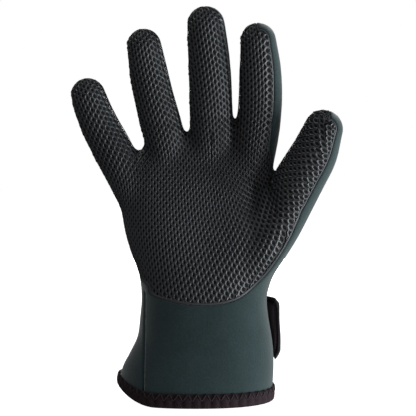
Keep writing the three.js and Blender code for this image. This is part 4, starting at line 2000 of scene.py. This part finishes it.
@dataclass
class WristStrap:
    """The strap, the hook tape under its loose end and the loop patch on the cuff.

    low is the height of the strap's lower edge, and places round the cuff are in
    degrees. The strap is loose up to loose_end and drawn in by sewn_drop past sewn_from.
    corner rounds its loose end, with reach for the cuff's radius. curl bends its long
    edges in, within the shares low_curl and high_curl of its width.
    """

    form: GloveForm
    finishes: Finishes
    low: float = 21.8
    width: float = 38.0
    loose_end: float = 26.0
    tuck_from: float = 3.0
    tuck_to: float = 22.0
    sewn_from: float = 124.0
    sewn_to: float = 138.0
    sewn_drop: float = 3.2
    corner: float = 2.6
    reach: float = 50.0
    curl: float = 1.9
    curl_from: float = 40.0
    curl_to: float = 80.0
    low_curl: float = 0.14
    high_curl: float = 0.93
    bevel: float = 0.5
    bevel_reach: float = 1.2
    steps_across: int = 14
    end_rings: int = 8
    ring_degrees: float = 1.5

    def _out(self, plan: StrapPlan, degrees: float, share: float) -> float:
        """How far a layer stands off the cuff.

        Args:
            plan: The layer.
            degrees: The place round the cuff.
            share: The place across the layer, from 0 at its lower edge to 1.

        Returns:
            The distance from the glove's form to the layer's inner face.
        """
        slack = 1 - smoothstep(plan.start, self.loose_end, degrees)
        loose = plan.loose * share * slack
        if plan.curled:
            bend = 1 - smoothstep(0, self.low_curl, share) + smoothstep(self.high_curl, 1, share)
            loose -= self.curl * bend * (1 - smoothstep(self.curl_from, self.curl_to, degrees))
        tuck = plan.tuck * (1 - smoothstep(self.tuck_from, self.tuck_to, degrees))
        sewn = self.sewn_drop * smoothstep(self.sewn_from, self.sewn_to, degrees)
        return plan.gap + float(loose - tuck - sewn)

    def _layer(self, plan: StrapPlan) -> tuple[np.ndarray, list[tuple[int, ...]]]:
        """A layer's skin, with rounded edges."""
        across = self.steps_across
        bevel = min(self.bevel, plan.thick / 3)
        rings = []
        rounded_to = plan.start + math.degrees(self.corner / self.reach)
        loose = np.linspace(plan.start, rounded_to, self.end_rings)
        sewn = np.linspace(loose[-1], plan.end, round((plan.end - loose[-1]) / self.ring_degrees) + 1)
        for degrees in np.concatenate([loose[:-1], sewn]):
            away = self.corner - min(self.corner, math.radians(degrees - plan.start) * self.reach)
            round_off = self.corner - math.sqrt(self.corner**2 - away**2)
            low = self.low + plan.inset + round_off
            high = self.low + self.width - plan.inset - round_off
            ring = []
            for side in (0, 1):
                for step in range(across + 1):
                    share = step / across if side == 0 else 1 - step / across
                    edge = min(share, 1 - share) * (high - low)
                    soft = bevel * max(0.0, 1 - edge / self.bevel_reach) ** 2
                    z = low + (high - low) * share
                    lift = soft if side == 0 else plan.thick - soft
                    out = self._out(plan, float(degrees), share) + lift
                    ring.append(self.form.hand_point(np.array(math.radians(degrees)), np.array(z), out))
            rings.append(np.array(ring))
        return loft(rings)

    def build(self) -> None:
        """Makes the three layers and dresses them."""
        looks = {
            Slot.LOOP: self.finishes.loop,
            Slot.HOOK: self.finishes.hook,
            Slot.STRAP: self.finishes.strap,
        }
        for plan in STRAP_LAYERS:
            points, faces = self._layer(plan)
            dress(make_object(plan.name, points, faces), looks[plan.slot], plan.node)


@dataclass(frozen=True)
class SoftLight:
    """A square area light aimed at the glove.

    towards is the direction in which it stands from the glove, size its side in
    millimetres and power its watts.
    """

    name: str
    towards: tuple[float, float, float]
    size: float
    power: float
    tint: tuple[float, float, float] = (1.0, 1.0, 1.0)


LIGHTS = (
    SoftLight("key", (0.95, -0.26, -0.18), 800, 15.0, (0.95, 0.99, 1.0)),
    SoftLight("front", (0.2, -0.8, -0.55), 700, 1.1),
    SoftLight("top", (-0.4, -0.05, 0.92), 500, 2.4),
    SoftLight("back", (0.0, 0.99, 0.1), 500, 6.5),
)


@dataclass
class Studio:
    """Camera, floor and lights."""

    focus: tuple[float, float, float] = (7.4, 0.0, 116.0)
    distance: float = 750.0
    eye_height: float = 150.0
    view_width: float = 257.4
    floor_drop: float = 4.0
    floor_glow: float = 1.05
    ambient: float = 0.12
    light_distance: float = 1000.0
    sensor: float = 36.0

    def build(self) -> None:
        """Sets up the camera, the pale floor and the soft lights."""
        self._camera()
        self._floor()
        self._world()
        for light in LIGHTS:
            self._area(light)

    def _camera(self) -> None:
        """The photograph's view."""
        data = bpy.data.cameras.new("camera")
        data.sensor_width = self.sensor
        data.lens = self.sensor * self.distance / self.view_width
        data.clip_start, data.clip_end = 0.05, 20
        camera = bpy.data.objects.new("camera", data)
        bpy.context.scene.collection.objects.link(camera)
        eye = Vector((self.focus[0], -self.distance, self.eye_height)) * MM
        target = Vector(self.focus) * MM
        camera.location = eye
        camera.rotation_mode = "QUATERNION"
        camera.rotation_quaternion = (target - eye).to_track_quat("-Z", "Y")
        bpy.context.scene.camera = camera

    def _floor(self) -> None:
        """A plain white floor just under the hem, which neither lights nor shades the glove."""
        reach = 4000.0
        z = -self.floor_drop
        square = np.array([(-reach, -reach, z), (reach, -reach, z), (reach, reach, z), (-reach, reach, z)])
        floor = make_object("floor", square, [(0, 1, 2, 3)], smooth=False)
        bench = NodeBench(bpy.data.materials.new("floor_paint"))
        bench.shader.inputs["Base Color"].default_value = (0.8, 0.8, 0.8, 1)
        bench.shader.inputs["Emission Color"].default_value = (1, 1, 1, 1)
        bench.shader.inputs["Emission Strength"].default_value = self.floor_glow
        bench.gloss(roughness=0.9, specular=0.0)
        floor.data.materials.append(bench.material)
        floor.visible_diffuse = False
        floor.visible_glossy = False
        floor.visible_shadow = False

    def _world(self) -> None:
        """A white surround that lights the glove only a little."""
        world = bpy.data.worlds.new("surround")
        world.use_nodes = True
        tree = world.node_tree
        back = tree.nodes["Background"]
        back.inputs["Color"].default_value = (1, 1, 1, 1)
        path = tree.nodes.new("ShaderNodeLightPath")
        level = tree.nodes.new("ShaderNodeMapRange")
        level.inputs["To Min"].default_value = self.ambient
        level.inputs["To Max"].default_value = 1.0
        tree.links.new(path.outputs["Is Camera Ray"], level.inputs["Value"])
        tree.links.new(level.outputs["Result"], back.inputs["Strength"])
        bpy.context.scene.world = world
        bpy.context.scene.view_settings.view_transform = "Standard"

    def _area(self, plan: SoftLight) -> None:
        """Puts up one light."""
        data = bpy.data.lights.new(plan.name, "AREA")
        data.size = plan.size * MM
        data.energy = plan.power
        data.color = plan.tint
        light = bpy.data.objects.new(plan.name, data)
        bpy.context.scene.collection.objects.link(light)
        focus = Vector(self.focus) * MM
        light.location = focus + Vector(plan.towards).normalized() * (self.light_distance * MM)
        light.rotation_mode = "QUATERNION"
        light.rotation_quaternion = (focus - light.location).to_track_quat("-Z", "Y")


def main() -> None:
    """Builds the glove piece by piece round the frame."""
    logging.basicConfig(level=logging.INFO, format="%(name)s %(message)s")
    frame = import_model()
    LOG.info("frame nodes: %s", sorted(frame["nodes"]))
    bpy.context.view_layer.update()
    Studio().build()
    finishes = Finishes()
    form = GloveForm()
    Sheets(form, finishes).build()
    HemBinding(form, finishes).build()
    WristStrap(form, finishes).build()


if __name__ == "__main__":
    main()
